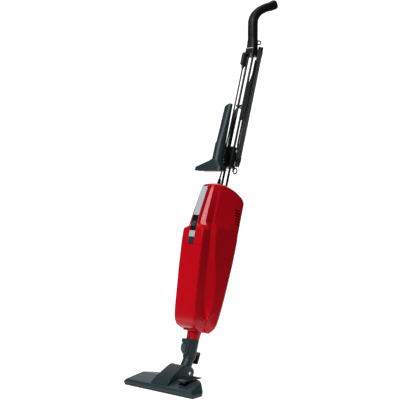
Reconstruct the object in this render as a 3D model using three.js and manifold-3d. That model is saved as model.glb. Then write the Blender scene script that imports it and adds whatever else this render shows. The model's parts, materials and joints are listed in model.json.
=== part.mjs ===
// Upright stick vacuum cleaner: a motor and dust housing on a floorhead, carried by a twin-rod handle.
// Millimetres, +Z up, +Y to the rear, floor at Z 0. The origin lies under the sole's front land.
import * as THREE from "three";
import { mergeVertices } from "three/addons/utils/BufferGeometryUtils.js";
import Module from "manifold-3d";

const wasm = await Module();
wasm.setup();

// ---- shared sizes -----------------------------------------------------------------------------
const GAP = 0.3;
const RUN_GAP = 0.4;
const WALL = 2.6;

const LEAN = THREE.MathUtils.degToRad(18.3);
const NECK_PIVOT = new THREE.Vector3(0, 100, 35);
const AXIS_SETBACK = 13.5;

const ROD_R = 3.5;
const ROD_SPREAD = 8.8;
const ROD_Y = -1.5;
const ROD_FOOT = 512;
const ROD_HEAD = 1008;
const ROD_HOLE_R = ROD_R + GAP;

const TUBE_R = 18.8;
const TUBE_BORE_R = 16.3;
const TUBE_FOOT = 46;
const TUBE_HEAD = 95;
const NECK_R = TUBE_BORE_R - GAP;

const CORD_D = 5;
const CORD_R = CORD_D / 2;

// Wound cord: its winding axis is turned about the handle, and both runs stand one behind the other.
const WINDING_TURN = THREE.MathUtils.degToRad(40);
const HANK_H = 25.05;
const HANK_D = 22;
const HANK_HALF = 7.5;
const HANK_FOOT = 623;
const HANK_HEAD = 1013;
const FOLD_OUT_R = 27.5;
const FOLD_IN_R = 12.5;
const LOWER_FOLD = HANK_FOOT + FOLD_OUT_R;
const UPPER_FOLD = HANK_HEAD - FOLD_OUT_R;

// ---- finishes ---------------------------------------------------------------------------------
const finish = (color, roughness, metalness = 0) => ({ color, roughness, metalness });
const RED = finish(0xb80a1c, 0.22);
const SILVER = finish(0xaebec6, 0.32, 0.6);
const SLATE = finish(0x1f2c30, 0.45);
const BLACK = finish(0x101314, 0.42);
const SOFT_BLACK = finish(0x17191a, 0.7);
const STEEL = finish(0xb9bcbf, 0.25, 1);
const DARK_STEEL = finish(0x17191b, 0.35, 0.8);
const PALE = finish(0xd9dcda, 0.5);
const PAPER = finish(0xe6dfd0, 0.95);
const FELT = finish(0x8a1420, 0.95);
const BRISTLE = finish(0x2a2b2c, 0.9);

// ---- solids -----------------------------------------------------------------------------------
// Turns a closed geometry into a solid that faces outwards.
function solid(geometry) {
  const bare = geometry.index ? geometry.toNonIndexed() : geometry.clone();
  bare.deleteAttribute("normal");
  bare.deleteAttribute("uv");
  const merged = mergeVertices(bare, 1e-4);
  const vertProperties = new Float32Array(merged.attributes.position.array);
  const triVerts = new Uint32Array(merged.index.array);
  const made = new wasm.Manifold(new wasm.Mesh({ numProp: 3, vertProperties, triVerts }));
  if (made.volume() > 0) return made;
  for (let i = 0; i < triVerts.length; i += 3) {
    [triVerts[i + 1], triVerts[i + 2]] = [triVerts[i + 2], triVerts[i + 1]];
  }
  return new wasm.Manifold(new wasm.Mesh({ numProp: 3, vertProperties, triVerts }));
}

function geometryOf(body) {
  const mesh = body.getMesh();
  const positions = new Float32Array(mesh.numVert * 3);
  for (let i = 0; i < mesh.numVert; i++) {
    positions.set(mesh.vertProperties.subarray(i * mesh.numProp, i * mesh.numProp + 3), i * 3);
  }
  const geometry = new THREE.BufferGeometry();
  geometry.setAttribute("position", new THREE.BufferAttribute(positions, 3));
  geometry.setIndex(new THREE.BufferAttribute(new Uint32Array(mesh.triVerts), 1));
  return geometry;
}

const join = (first, ...others) => others.reduce((sum, other) => sum.add(other), first);
const cut = (first, ...others) => others.reduce((rest, other) => rest.subtract(other), first);
// Keeps the main body where a cut leaves a sliver beside it.
const mainBody = (body) => body.decompose().reduce((a, b) => (a.volume() > b.volume() ? a : b));
const overlap = (first, ...others) => others.reduce((both, other) => both.intersect(other), first);
const moved = (body, matrix) => solid(geometryOf(body).applyMatrix4(matrix));
const shifted = (body, x, y, z) => moved(body, new THREE.Matrix4().makeTranslation(x, y, z));
const mirrored = (body) => moved(body, new THREE.Matrix4().makeScale(-1, 1, 1));
const wound = (body) => moved(body, new THREE.Matrix4().makeRotationZ(WINDING_TURN));

function piece(name, body, look) {
  const geometry = geometryOf(body);
  geometry.computeVertexNormals();
  const mesh = new THREE.Mesh(geometry, new THREE.MeshStandardMaterial(look));
  mesh.name = name;
  return mesh;
}

// A smooth curve through [place, value] knots that never overshoots them.
function curve(...knots) {
  const rise = (i) => (knots[i + 1][1] - knots[i][1]) / (knots[i + 1][0] - knots[i][0]);
  const slopes = knots.map((knot, i) => {
    if (i === 0) return rise(0);
    if (i === knots.length - 1) return rise(i - 1);
    const before = rise(i - 1);
    const after = rise(i);
    return before * after <= 0 ? 0 : (2 * before * after) / (before + after);
  });
  return (place) => {
    if (place <= knots[0][0]) return knots[0][1];
    if (place >= knots.at(-1)[0]) return knots.at(-1)[1];
    const i = knots.findLastIndex((knot) => knot[0] <= place);
    const span = knots[i + 1][0] - knots[i][0];
    const t = (place - knots[i][0]) / span;
    const start = (1 + 2 * t) * (1 - t) ** 2 * knots[i][1] + t * (1 - t) ** 2 * span * slopes[i];
    const end = t * t * (3 - 2 * t) * knots[i + 1][1] - t * t * (1 - t) * span * slopes[i + 1];
    return start + end;
  };
}

// Rounds the corners of an outline, each by at most the given length along its edges.
function rounded(outline, length, samples = 3) {
  const points = [];
  outline.forEach((corner, i) => {
    const before = outline[(i + outline.length - 1) % outline.length];
    const after = outline[(i + 1) % outline.length];
    points.push(...filleted(before, corner, after, length, samples));
  });
  return points;
}

function filleted(before, corner, after, length, samples = 3) {
  const towards = (other) => {
    const gap = Math.hypot(other[0] - corner[0], other[1] - corner[1]);
    const share = Math.min(length / gap, 0.45);
    return [corner[0] + (other[0] - corner[0]) * share, corner[1] + (other[1] - corner[1]) * share];
  };
  const start = towards(before);
  const end = towards(after);
  const points = [];
  for (let i = 0; i < samples; i++) {
    const t = i / (samples - 1);
    const weights = [(1 - t) ** 2, 2 * t * (1 - t), t * t];
    points.push([0, 1].map((k) => weights[0] * start[k] + weights[1] * corner[k] + weights[2] * end[k]));
  }
  return points;
}

const rectangle = (x0, y0, x1, y1) => [
  [x0, y0],
  [x1, y0],
  [x1, y1],
  [x0, y1],
];

function extruded(outline, depth) {
  const shape = new THREE.Shape(outline.map(([u, v]) => new THREE.Vector2(u, v)));
  return new THREE.ExtrudeGeometry(shape, { depth, bevelEnabled: false, steps: 1 });
}

// An outline in X and Y, raised from low to high.
const standing = (outline, low, high) => solid(extruded(outline, high - low).translate(0, 0, low));

// An outline in Y and Z, drawn out from left to right.
function sideways(outline, left, right) {
  const turn = new THREE.Matrix4().makeBasis(
    new THREE.Vector3(0, 1, 0),
    new THREE.Vector3(0, 0, 1),
    new THREE.Vector3(1, 0, 0),
  );
  return solid(extruded(outline, right - left).translate(0, 0, left).applyMatrix4(turn));
}

// An outline in X and Z, drawn out from front to back.
function lengthwise(outline, front, back) {
  const turn = new THREE.Matrix4().makeRotationX(Math.PI / 2);
  return solid(extruded(outline, back - front).translate(0, 0, -back).applyMatrix4(turn));
}

function block(x0, x1, y0, y1, z0, z1) {
  const geometry = new THREE.BoxGeometry(x1 - x0, y1 - y0, z1 - z0);
  return solid(geometry.translate((x0 + x1) / 2, (y0 + y1) / 2, (z0 + z1) / 2));
}

// A round bar between two points.
function bar(radius, from, to, sides = 16) {
  const start = new THREE.Vector3(...from);
  const end = new THREE.Vector3(...to);
  const geometry = new THREE.CylinderGeometry(radius, radius, start.distanceTo(end), sides);
  const along = end.clone().sub(start).normalize();
  const turn = new THREE.Quaternion().setFromUnitVectors(new THREE.Vector3(0, 1, 0), along);
  geometry.applyQuaternion(turn);
  const middle = start.add(end).multiplyScalar(0.5);
  return solid(geometry.translate(middle.x, middle.y, middle.z));
}

// A profile of [radius, height] pairs turned about an upright line through x, y.
function turned(profile, x = 0, y = 0, sides = 24) {
  const points = profile.map(([r, z]) => new THREE.Vector2(r, z));
  const geometry = new THREE.LatheGeometry(points, sides).rotateX(Math.PI / 2);
  return solid(geometry.translate(x, y, 0));
}

const ringProfile = (inner, outer, low, high) => [
  [inner, low],
  [outer, low],
  [outer, high],
  [inner, high],
  [inner, low],
];

const collar = (inner, outer, low, high, x, y, sides) =>
  turned(ringProfile(inner, outer, low, high), x, y, sides);

// Rings of points, each anticlockwise from above, skinned into one closed body.
function lofted(rings) {
  const positions = [];
  const centre = (ring) => [0, 1, 2].map((k) => ring.reduce((sum, p) => sum + p[k], 0) / ring.length);
  const quad = (a, b, c, d) => positions.push(...a, ...b, ...c, ...a, ...c, ...d);
  const count = rings[0].length;
  for (let i = 0; i + 1 < rings.length; i++) {
    for (let j = 0; j < count; j++) {
      const next = (j + 1) % count;
      quad(rings[i][j], rings[i][next], rings[i + 1][next], rings[i + 1][j]);
    }
  }
  const foot = centre(rings[0]);
  const head = centre(rings.at(-1));
  for (let j = 0; j < count; j++) {
    const next = (j + 1) % count;
    positions.push(...foot, ...rings[0][next], ...rings[0][j]);
    positions.push(...head, ...rings.at(-1)[j], ...rings.at(-1)[next]);
  }
  const geometry = new THREE.BufferGeometry();
  geometry.setAttribute("position", new THREE.Float32BufferAttribute(positions, 3));
  return solid(geometry);
}

// A limb bent in the Y-Z plane: stations of {y, z, side, deep, square}, with oval to squarish sections.
function limb(stations, sides = 20, steps = 18) {
  const points = stations.map((s) => new THREE.Vector3(0, s.y, s.z));
  const line = new THREE.CatmullRomCurve3(points, false, "centripetal");
  const lastStation = stations.length - 1;
  const rings = [];
  for (let i = 0; i <= steps; i++) {
    const t = i / steps;
    const at = line.getPoint(t);
    const along = line.getTangent(t);
    const index = Math.min(Math.floor(t * lastStation), lastStation - 1);
    const share = t * lastStation - index;
    const value = (key) => stations[index][key] * (1 - share) + stations[index + 1][key] * share;
    rings.push(squircle(sides, value("side"), value("deep"), value("square")).map(([u, v]) => [
      u,
      at.y + v * along.z,
      at.z - v * along.y,
    ]));
  }
  return lofted(rings);
}

function squircle(sides, halfX, halfY, power) {
  const soften = (value) => Math.sign(value) * Math.abs(value) ** (2 / power);
  return Array.from({ length: sides }, (_, i) => {
    const angle = ((i + 0.5) / sides) * 2 * Math.PI;
    return [halfX * soften(Math.cos(angle)), halfY * soften(Math.sin(angle))];
  });
}

// A round strand along a smooth line.
function strand(points, radius, steps, sides = 8) {
  const path = new THREE.CatmullRomCurve3(points.map((p) => new THREE.Vector3(...p)), false, "centripetal");
  const circle = Array.from({ length: sides }, (_, i) => {
    const angle = (i / sides) * 2 * Math.PI;
    return new THREE.Vector2(radius * Math.cos(angle), radius * Math.sin(angle));
  });
  const options = { steps, extrudePath: path, bevelEnabled: false };
  return solid(new THREE.ExtrudeGeometry(new THREE.Shape(circle), options));
}

// Winding coordinates (across, deep) to the handle's X and Y.
function unwound(across, deep, z) {
  const c = Math.cos(WINDING_TURN);
  const s = Math.sin(WINDING_TURN);
  return [across * c - deep * s, across * s + deep * c, z];
}

// ---- housing form -----------------------------------------------------------------------------
const HOUSING_FOOT = 118;
const PANEL_FRONT = curve(
  [118, -17],
  [122, -33],
  [128, -46],
  [148, -59],
  [233, -76],
  [310, -89],
  [396, -98.5],
  [436, -97],
  [482, -91],
  [530, -84],
);
const CROWN = 1.2;
const PANEL_HALF = curve([118, 24], [128, 33], [150, 35], [396, 36], [402, 27], [409, 13], [540, 12.5]);
const BAND_HALF = curve([118, 27], [128, 36], [150, 38.5], [396, 39], [403, 31], [410, 21], [540, 19]);
const BAND_DEPTH = curve([118, 3], [396, 5], [410, 12.5], [455, 11], [540, 9]);
const VALLEY_HALF = curve(
  [118, 34],
  [152, 47],
  [180, 42],
  [206, 40],
  [396, 40],
  [410, 36],
  [455, 31],
  [540, 31],
);
const VALLEY_Y = curve(
  [118, -6],
  [152, -17],
  [180, -25.8],
  [206, -34],
  [250, -45],
  [342, -57],
  [396, -67],
  [410, -60],
  [455, -51],
  [500, -54.5],
);
const LEDGE_HALF = curve(
  [118, 38],
  [152, 53],
  [180, 57],
  [250, 57],
  [342, 53],
  [396, 50],
  [410, 42],
  [455, 36],
);
const LEDGE_Y = curve(
  [118, -2],
  [152, -18.6],
  [180, -14],
  [206, -13.5],
  [250, -17],
  [342, -45],
  [396, -52],
  [410, -50],
  [455, -46],
  [500, -52],
);
const SIDE_HALF = curve(
  [118, 44],
  [120, 47],
  [127, 52],
  [138, 58],
  [152, 60],
  [398, 60.5],
  [412, 58.7],
  [540, 58],
);
const SIDE_Y = curve([118, 4], [152, 14], [206, 22], [300, 27], [540, 27]);
const BACK_Y = curve([118, 22], [127, 28], [138, 31], [168, 37], [212, 41], [281, 46], [341, 49], [540, 48]);
const BACK_CORNER = 20;

const TOP_Z = 551;
const TOP_CREST_Y = -16;
const TOP_BOW_Y = 0.0044;
const TOP_BOW_X = 0.0069;
const TOP_EDGE_R = 8;
const TOP_REACH = 60;
const RIM_Z = 533;
const topOf = (x, y) => TOP_Z - TOP_BOW_Y * (y - TOP_CREST_Y) ** 2 - TOP_BOW_X * x * x;

// Half of the housing's section at height z, from the front centre round to the back centre.
function halfSection(z) {
  const front = PANEL_FRONT(z);
  const half = PANEL_HALF(z);
  const panel = [half, front + CROWN];
  const band = [BAND_HALF(z), front + CROWN + BAND_DEPTH(z)];
  const valley = [VALLEY_HALF(z), VALLEY_Y(z)];
  const ledge = [LEDGE_HALF(z), LEDGE_Y(z)];
  const side = [SIDE_HALF(z), SIDE_Y(z)];
  const back = BACK_Y(z);
  const middle = [half / 2, front + CROWN * 0.3];
  const corner = Math.min(BACK_CORNER, side[0] - 20, back - side[1]);
  const arc = [20, 55, 90].map((degrees) => {
    const angle = THREE.MathUtils.degToRad(degrees);
    return [side[0] - corner + corner * Math.cos(angle), back - corner + corner * Math.sin(angle)];
  });
  return [
    [0, front],
    middle,
    ...filleted(middle, panel, band, 3, 2),
    ...filleted(panel, band, valley, 3, 2),
    ...filleted(band, valley, ledge, 2.5, 2),
    ...filleted(valley, ledge, side, 4, 2),
    side,
    ...arc,
    [0, back + 0.6],
  ];
}

// The whole section, drawn in by an inset measured square to its outline.
function section(z, inset) {
  const half = halfSection(z);
  const other = half.slice(1, -1).reverse().map(([x, y]) => [-x, y]);
  const whole = [...half, ...other];
  if (!inset) return whole;
  return whole.map(([x, y], i) => {
    const before = whole[(i + whole.length - 1) % whole.length];
    const after = whole[(i + 1) % whole.length];
    const run = [after[0] - before[0], after[1] - before[1]];
    const length = Math.hypot(...run);
    return [x - (run[1] / length) * inset, y + (run[0] / length) * inset];
  });
}

// The housing's form from a foot height up to its domed top.
function housingForm(inset, heights) {
  const sunk = (z) => (z < 150 ? z - inset : z);
  const rings = heights.map((z) => section(sunk(z), inset).map(([x, y]) => [x, y, z]));
  const last = rings.at(-1);
  const rim = section(RIM_Z, inset);
  for (const t of [0.5, 1]) {
    rings.push(rim.map(([x, y], j) => {
      const at = [last[j][0] + (x - last[j][0]) * t, last[j][1] + (y - last[j][1]) * t];
      const high = topOf(x, y) - inset - TOP_EDGE_R;
      return [...at, last[j][2] + (high - last[j][2]) * t];
    }));
  }
  for (const degrees of [30, 60, 90]) {
    const angle = THREE.MathUtils.degToRad(degrees);
    const scale = 1 - (TOP_EDGE_R * (1 - Math.cos(angle))) / TOP_REACH;
    rings.push(domeRing(rim, scale, inset + TOP_EDGE_R * (1 - Math.sin(angle))));
  }
  rings.push(domeRing(rim, 0.55, inset));
  rings.push(domeRing(rim, 0.2, inset));
  return lofted(rings);
}

function domeRing(rim, scale, drop) {
  return rim.map(([x, y]) => {
    const at = [x * scale, TOP_CREST_Y + (y - TOP_CREST_Y) * scale];
    return [...at, topOf(...at) - drop];
  });
}

const BASE_HEIGHTS = [118, 119.5, 122.5, 128, 136, 150, 180, 228, 310];
const OUTER_HEIGHTS = [...BASE_HEIGHTS, 396, 399.5, 403, 407, 411, 424, 462, 505];
const INNER_HEIGHTS = [121, 127, 145, 180, 230, 310, 396, 403, 411, 455, 505];

const FORM = housingForm(0, OUTER_HEIGHTS);
const HOLLOW = housingForm(WALL, INNER_HEIGHTS);
const SHELL = cut(FORM, HOLLOW);

// ---- seams between the housing's shells ---------------------------------------------------------
const SEAM_FRONT = 352;
const SEAM_KNEE_Y = -57;
const SEAM_LEDGE_Y = -45;
const SEAM_LEDGE = 344;
const LID_BACK_Y = 25;
const SEAM_BACK = 330;
const FAR = 200;
const SEAM = 0.4;

function upperRegion(lift) {
  return sideways(
    [
      [-FAR, SEAM_FRONT + lift],
      [SEAM_KNEE_Y, SEAM_FRONT + lift],
      [SEAM_LEDGE_Y, SEAM_LEDGE + lift],
      [LID_BACK_Y, SEAM_BACK + lift],
      [FAR, SEAM_BACK + lift],
      [FAR, 600],
      [-FAR, 600],
    ],
    -FAR,
    FAR,
  );
}

// Everything in front of the seam that runs up the housing's sides.
function lidRegion(grow) {
  return sideways(
    [
      [-FAR, 100],
      [-25 + grow, 100],
      [-25 + grow, 130],
      [-23 + grow, 153 - grow],
      [22 + grow, 219 - grow],
      [LID_BACK_Y + grow, 240],
      [LID_BACK_Y + grow, 400],
      [-FAR, 400],
    ],
    -FAR,
    FAR,
  );
}

// ---- control strip ------------------------------------------------------------------------------
const STRIP_HALF = 10;
const STRIP_PROUD = 0.7;
const STRIP_SEAT = 1.1;
const STRIP_HEAD = 526;
const TRIM_FOOT = 436;
const BEZEL_FOOT = 390;
const BUTTON_HEAD = 372;
const BUTTON_FOOT = 353.6;
const BUTTON_TRAVEL = 2;

// A band that follows the front of the housing between two heights.
function band(low, high, front, back, half) {
  const steps = Math.max(2, Math.ceil((high - low) / 11));
  const heights = Array.from({ length: steps + 1 }, (_, i) => low + ((high - low) * i) / steps);
  const outline = heights.map((z) => [PANEL_FRONT(z) + front, z]);
  const rear = heights.reverse().map((z) => [PANEL_FRONT(z) + back, z]);
  return sideways([...outline.reverse(), ...rear.reverse()].reverse(), -half, half);
}

const upperStrip = () => band(TRIM_FOOT + GAP / 2, STRIP_HEAD, -STRIP_PROUD, STRIP_SEAT, STRIP_HALF);
const lowerStrip = () =>
  band(BUTTON_HEAD + GAP / 2, BEZEL_FOOT - GAP / 2, -STRIP_PROUD, STRIP_SEAT, STRIP_HALF);

const SLIDER_HALF = 6.4;
const SLIDER_FOOT = 403;
const SLIDER_HEAD = 418;
const TRACK_FOOT = 394;
const TRACK_HEAD = 431;

function switchBezel() {
  const plate = band(BEZEL_FOOT + GAP / 2, TRIM_FOOT - GAP / 2, -STRIP_PROUD, STRIP_SEAT, STRIP_HALF);
  return cut(plate, band(TRACK_FOOT, TRACK_HEAD, -STRIP_PROUD - 3, 0, SLIDER_HALF + GAP));
}

function switchSlider() {
  const body = band(SLIDER_FOOT, SLIDER_HEAD, -STRIP_PROUD - 0.8, -GAP, SLIDER_HALF);
  const middle = (SLIDER_FOOT + SLIDER_HEAD) / 2;
  const ribs = [-4, 0, 4].map((z) => {
    const front = PANEL_FRONT(middle + z) - STRIP_PROUD;
    return block(-5, 5, front - 1.7, front, middle + z - 0.7, middle + z + 0.7);
  });
  return join(body, ...ribs);
}

function releaseButton() {
  const cap = band(BUTTON_FOOT, BUTTON_HEAD - GAP, -STRIP_PROUD - 0.4, STRIP_SEAT, STRIP_HALF - 0.2);
  const middle = (BUTTON_FOOT + BUTTON_HEAD) / 2;
  const front = PANEL_FRONT(middle);
  return join(cap, block(-6, 6, front + 0.5, front + 9, middle - 3, middle + 3));
}

// ---- housing shells -----------------------------------------------------------------------------
const MOTOR_Y = -8;
const MOTOR_R = 33.5;
const FLOOR_LOW = 357;
const FLOOR_HIGH = 359.6;
const RELIEF_X = -19.4;
const RELIEF_Y = -4;

const rodHoles = (radius, low, high) =>
  join(
    bar(radius, [-ROD_SPREAD, ROD_Y, low], [-ROD_SPREAD, ROD_Y, high]),
    bar(radius, [ROD_SPREAD, ROD_Y, low], [ROD_SPREAD, ROD_Y, high]),
  );

const VENT_COUNT = 8;
const VENT_FIRST = 443;
const VENT_PITCH = 5;
const VENT_TALL = 2;
const VENT_LONG = 23;

function vents() {
  const slots = Array.from({ length: VENT_COUNT }, (_, i) => {
    const z = VENT_FIRST + i * VENT_PITCH;
    const front = 13 - i * 2;
    return block(44, 70, front, front + VENT_LONG, z, z + VENT_TALL);
  });
  return join(slots[0], ...slots.slice(1));
}

function upperHousing() {
  const notch = block(-13, 13, -FAR, -76, 340, FLOOR_HIGH + 1);
  const plate = overlap(housingForm(1, INNER_HEIGHTS), block(-FAR, FAR, -FAR, FAR, FLOOR_LOW, FLOOR_HIGH));
  const intake = bar(24, [0, MOTOR_Y, 340], [0, MOTOR_Y, 370], 24);
  const floor = cut(plate, intake, notch);
  const shell = join(overlap(SHELL, upperRegion(SEAM / 2)), floor);
  const seat = band(BUTTON_HEAD, STRIP_HEAD + GAP, -20, STRIP_SEAT + GAP, STRIP_HALF + GAP);
  const window = block(-STRIP_HALF - GAP, STRIP_HALF + GAP, -FAR, -80, 340, BUTTON_HEAD);
  const reliefHole = bar(5, [RELIEF_X, RELIEF_Y, 530], [RELIEF_X, RELIEF_Y, 570]);
  const side = vents();
  return mainBody(cut(shell, seat, window, rodHoles(ROD_HOLE_R, 530, 570), reliefHole, side, mirrored(side)));
}

const SPIGOT_R = 19;
const HINGE_Y = -26;
const HINGE_Z = 118.8;
const HINGE_PIN_R = 1.2;
const KNUCKLE_R = 2.8;
const KNUCKLE_HALF = 8;

const hingeKnuckle = (from, to) =>
  cut(
    join(
      bar(KNUCKLE_R, [from, HINGE_Y, HINGE_Z], [to, HINGE_Y, HINGE_Z], 14),
      block(from, to, HINGE_Y - 2, HINGE_Y + 2, HINGE_Z, HINGE_Z + 5),
    ),
    bar(HINGE_PIN_R + GAP, [from - 1, HINGE_Y, HINGE_Z], [to + 1, HINGE_Y, HINGE_Z], 14),
  );

const hingeClear = (from, to) =>
  join(
    bar(KNUCKLE_R + RUN_GAP, [from, HINGE_Y, HINGE_Z], [to, HINGE_Y, HINGE_Z], 14),
    block(from, to, HINGE_Y - 2 - RUN_GAP, HINGE_Y + 2 + RUN_GAP, HINGE_Z, HINGE_Z + 6),
  );

function dustLid() {
  const skin = overlap(cut(SHELL, upperRegion(-SEAM / 2)), lidRegion(0));
  const cleared = cut(
    skin,
    hingeClear(KNUCKLE_HALF + GAP, 19),
    hingeClear(-19, -KNUCKLE_HALF - GAP),
    bar(SPIGOT_R + 5, [0, 0, 100], [0, 0, 140], 28),
  );
  return join(cleared, hingeKnuckle(-KNUCKLE_HALF, KNUCKLE_HALF));
}

function lowerHousing() {
  const skin = cut(SHELL, upperRegion(-SEAM / 2), lidRegion(SEAM));
  const hole = bar(SPIGOT_R + 2.6, [0, 0, 100], [0, 0, 130], 28);
  const sill = block(-20, 20, HINGE_Y + 1.4, -21, HOUSING_FOOT, HOUSING_FOOT + WALL);
  const right = hingeKnuckle(KNUCKLE_HALF + GAP, 18);
  const frame = join(skin, sill, right, mirrored(right));
  return cut(frame, hingeClear(-KNUCKLE_HALF - GAP, KNUCKLE_HALF + GAP), hole);
}

function lidSeal() {
  const ring = cut(housingForm(WALL + GAP, INNER_HEIGHTS), housingForm(WALL + 3.2, INNER_HEIGHTS));
  const slice = overlap(ring, block(-FAR, FAR, -FAR, FAR, SEAM_FRONT + SEAM / 2 + GAP, FLOOR_LOW - GAP));
  return cut(slice, block(-14, 14, -FAR, -70, 340, 370));
}

// ---- inside the housing -------------------------------------------------------------------------
const SPIGOT_RISE = 9.4;
const SPIGOT_HEAD = HOUSING_FOOT + WALL + SPIGOT_RISE;
const BAG_FLOOR = SPIGOT_HEAD + GAP;

function inletSpigot() {
  const profile = [
    [14.5, 76],
    [NECK_R, 76],
    [NECK_R, TUBE_HEAD + GAP],
    [SPIGOT_R, TUBE_HEAD + GAP],
    [SPIGOT_R + 0.3, 106],
    [SPIGOT_R + 2.2, 121],
    [SPIGOT_R + 2.2, SPIGOT_HEAD],
    [15, SPIGOT_HEAD],
    [14.5, 76],
  ];
  return turned(profile, 0, 0, 24);
}

function bagCollar() {
  const plate = standing(rounded(rectangle(-26, -36, 26, 18), 8), BAG_FLOOR, BAG_FLOOR + 2.4);
  return cut(plate, bar(13, [0, 0, BAG_FLOOR - 5], [0, 0, BAG_FLOOR + 9], 24));
}

function dustBag() {
  const level = (z, halfX, front, back) =>
    squircle(24, halfX, (back - front) / 2, 3.2).map(([x, y]) => [x, y + (front + back) / 2, z]);
  const low = BAG_FLOOR + 2.4 + GAP;
  return lofted([
    level(low, 20, -30, 14),
    level(low + 8, 30, -46, 20),
    level(low + 50, 33, -62, 24),
    level(low + 120, 33, -76, 24),
    level(low + 175, 33, -80, 20),
    level(low + 196, 26, -70, 12),
  ]);
}

const motorFilter = () =>
  standing(rounded(rectangle(-27, -64, 27, 22), 6), SEAM_FRONT + 1.2, FLOOR_LOW - GAP);

const CASING_FOOT = 372;
const CASING_HEAD = 452;
const SHAFT_R = 3;
const SHAFT_GAP = 0.1;

function motorMount() {
  return collar(25, MOTOR_R - 1, FLOOR_HIGH + GAP, CASING_FOOT - GAP, 0, MOTOR_Y);
}

function motorCasing() {
  const profile = [
    [20, CASING_FOOT],
    [MOTOR_R, CASING_FOOT],
    [MOTOR_R, CASING_FOOT + 26],
    [MOTOR_R - 4, CASING_FOOT + 30],
    [MOTOR_R - 4, CASING_HEAD],
    [MOTOR_R - 7, CASING_HEAD],
    [MOTOR_R - 7, CASING_FOOT + 28],
    [MOTOR_R - 2.4, CASING_FOOT + 24],
    [MOTOR_R - 2.4, CASING_FOOT + 2.4],
    [20, CASING_FOOT + 2.4],
    [20, CASING_FOOT],
  ];
  return turned(profile, 0, MOTOR_Y);
}

function motorBody() {
  const profile = [
    [0, CASING_FOOT + 4],
    [SHAFT_R, CASING_FOOT + 4],
    [SHAFT_R, CASING_FOOT + 28 + GAP],
    [22, CASING_FOOT + 28 + GAP],
    [MOTOR_R - 7 - GAP, CASING_FOOT + 34],
    [MOTOR_R - 7 - GAP, CASING_HEAD - 8],
    [12, CASING_HEAD],
    [12, CASING_HEAD + 5],
    [0, CASING_HEAD + 5],
  ];
  return turned(profile, 0, MOTOR_Y);
}

function motorFan() {
  const hub = [
    [SHAFT_R + SHAFT_GAP, CASING_FOOT + 6],
    [6, CASING_FOOT + 6],
    [7, CASING_FOOT + 18],
    [27, CASING_FOOT + 20],
    [27, CASING_FOOT + 22],
    [6, CASING_FOOT + 22],
    [6, CASING_FOOT + 28],
    [SHAFT_R + SHAFT_GAP, CASING_FOOT + 28],
    [SHAFT_R + SHAFT_GAP, CASING_FOOT + 6],
  ];
  const blade = block(6, 27, -0.8, 0.8, CASING_FOOT + 10, CASING_FOOT + 21);
  const blades = Array.from({ length: 7 }, (_, i) => {
    const turn = new THREE.Matrix4().makeRotationZ((i / 7) * 2 * Math.PI);
    return moved(blade, new THREE.Matrix4().makeTranslation(0, MOTOR_Y, 0).multiply(turn));
  });
  return join(turned(hub, 0, MOTOR_Y), ...blades);
}

const exhaustFilter = () =>
  standing(rounded(rectangle(-34, -22, 34, 34), 8), CASING_HEAD + 5 + GAP, CASING_HEAD + 18);

function rodSocket() {
  const boss = standing(rounded(rectangle(-16, -9, 16, 6), 4), ROD_FOOT - 7, 542);
  return cut(boss, rodHoles(ROD_HOLE_R, ROD_FOOT - GAP, 570));
}

// ---- handle -------------------------------------------------------------------------------------
const RELIEF_SEAT = TOP_Z;
const RELIEF_TALL = 22;
const RELIEF_HEAD = RELIEF_SEAT + RELIEF_TALL;
const RELIEF_ROOT = 8;
const RELIEF_BORE = 13;

function strainRelief() {
  const profile = [
    [0, RELIEF_SEAT - RELIEF_ROOT],
    [5 - GAP, RELIEF_SEAT - RELIEF_ROOT],
    [5 - GAP, RELIEF_SEAT - 0.4],
    [6.8, RELIEF_SEAT - 0.4],
    [6.6, RELIEF_SEAT + 2],
    [5.4, RELIEF_HEAD - RELIEF_TALL / 2],
    [4, RELIEF_HEAD],
    [CORD_R + GAP, RELIEF_HEAD],
    [CORD_R + GAP, RELIEF_HEAD - RELIEF_BORE],
    [0, RELIEF_HEAD - RELIEF_BORE],
  ];
  return turned(profile, RELIEF_X, RELIEF_Y, 20);
}

const handleRod = (side) =>
  bar(ROD_R, [side * ROD_SPREAD, ROD_Y, ROD_FOOT], [side * ROD_SPREAD, ROD_Y, ROD_HEAD], 16);

const COLLAR_FOOT = 970;
const COLLAR_TALL = 18;
const COLLAR_HEAD = COLLAR_FOOT + COLLAR_TALL;
const COLLAR_LEFT = -14;
const COLLAR_RIGHT = 16;
const COLLAR_FRONT = -16;
const COLLAR_BACK = 12;
const HOOK_PLATE_IN = 13.9;
const HOOK_PLATE_OUT = 16.9;
const DRUM_R = FOLD_IN_R - GAP;
const PIN_PITCH = 19;
const PIN_R = 2;
const PLUG_PIN_Z = COLLAR_FOOT + 5;
const PLUG_PIN_Y = -2;

const plugPinY = (side) => PLUG_PIN_Y + (side * PIN_PITCH) / 2;

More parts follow.
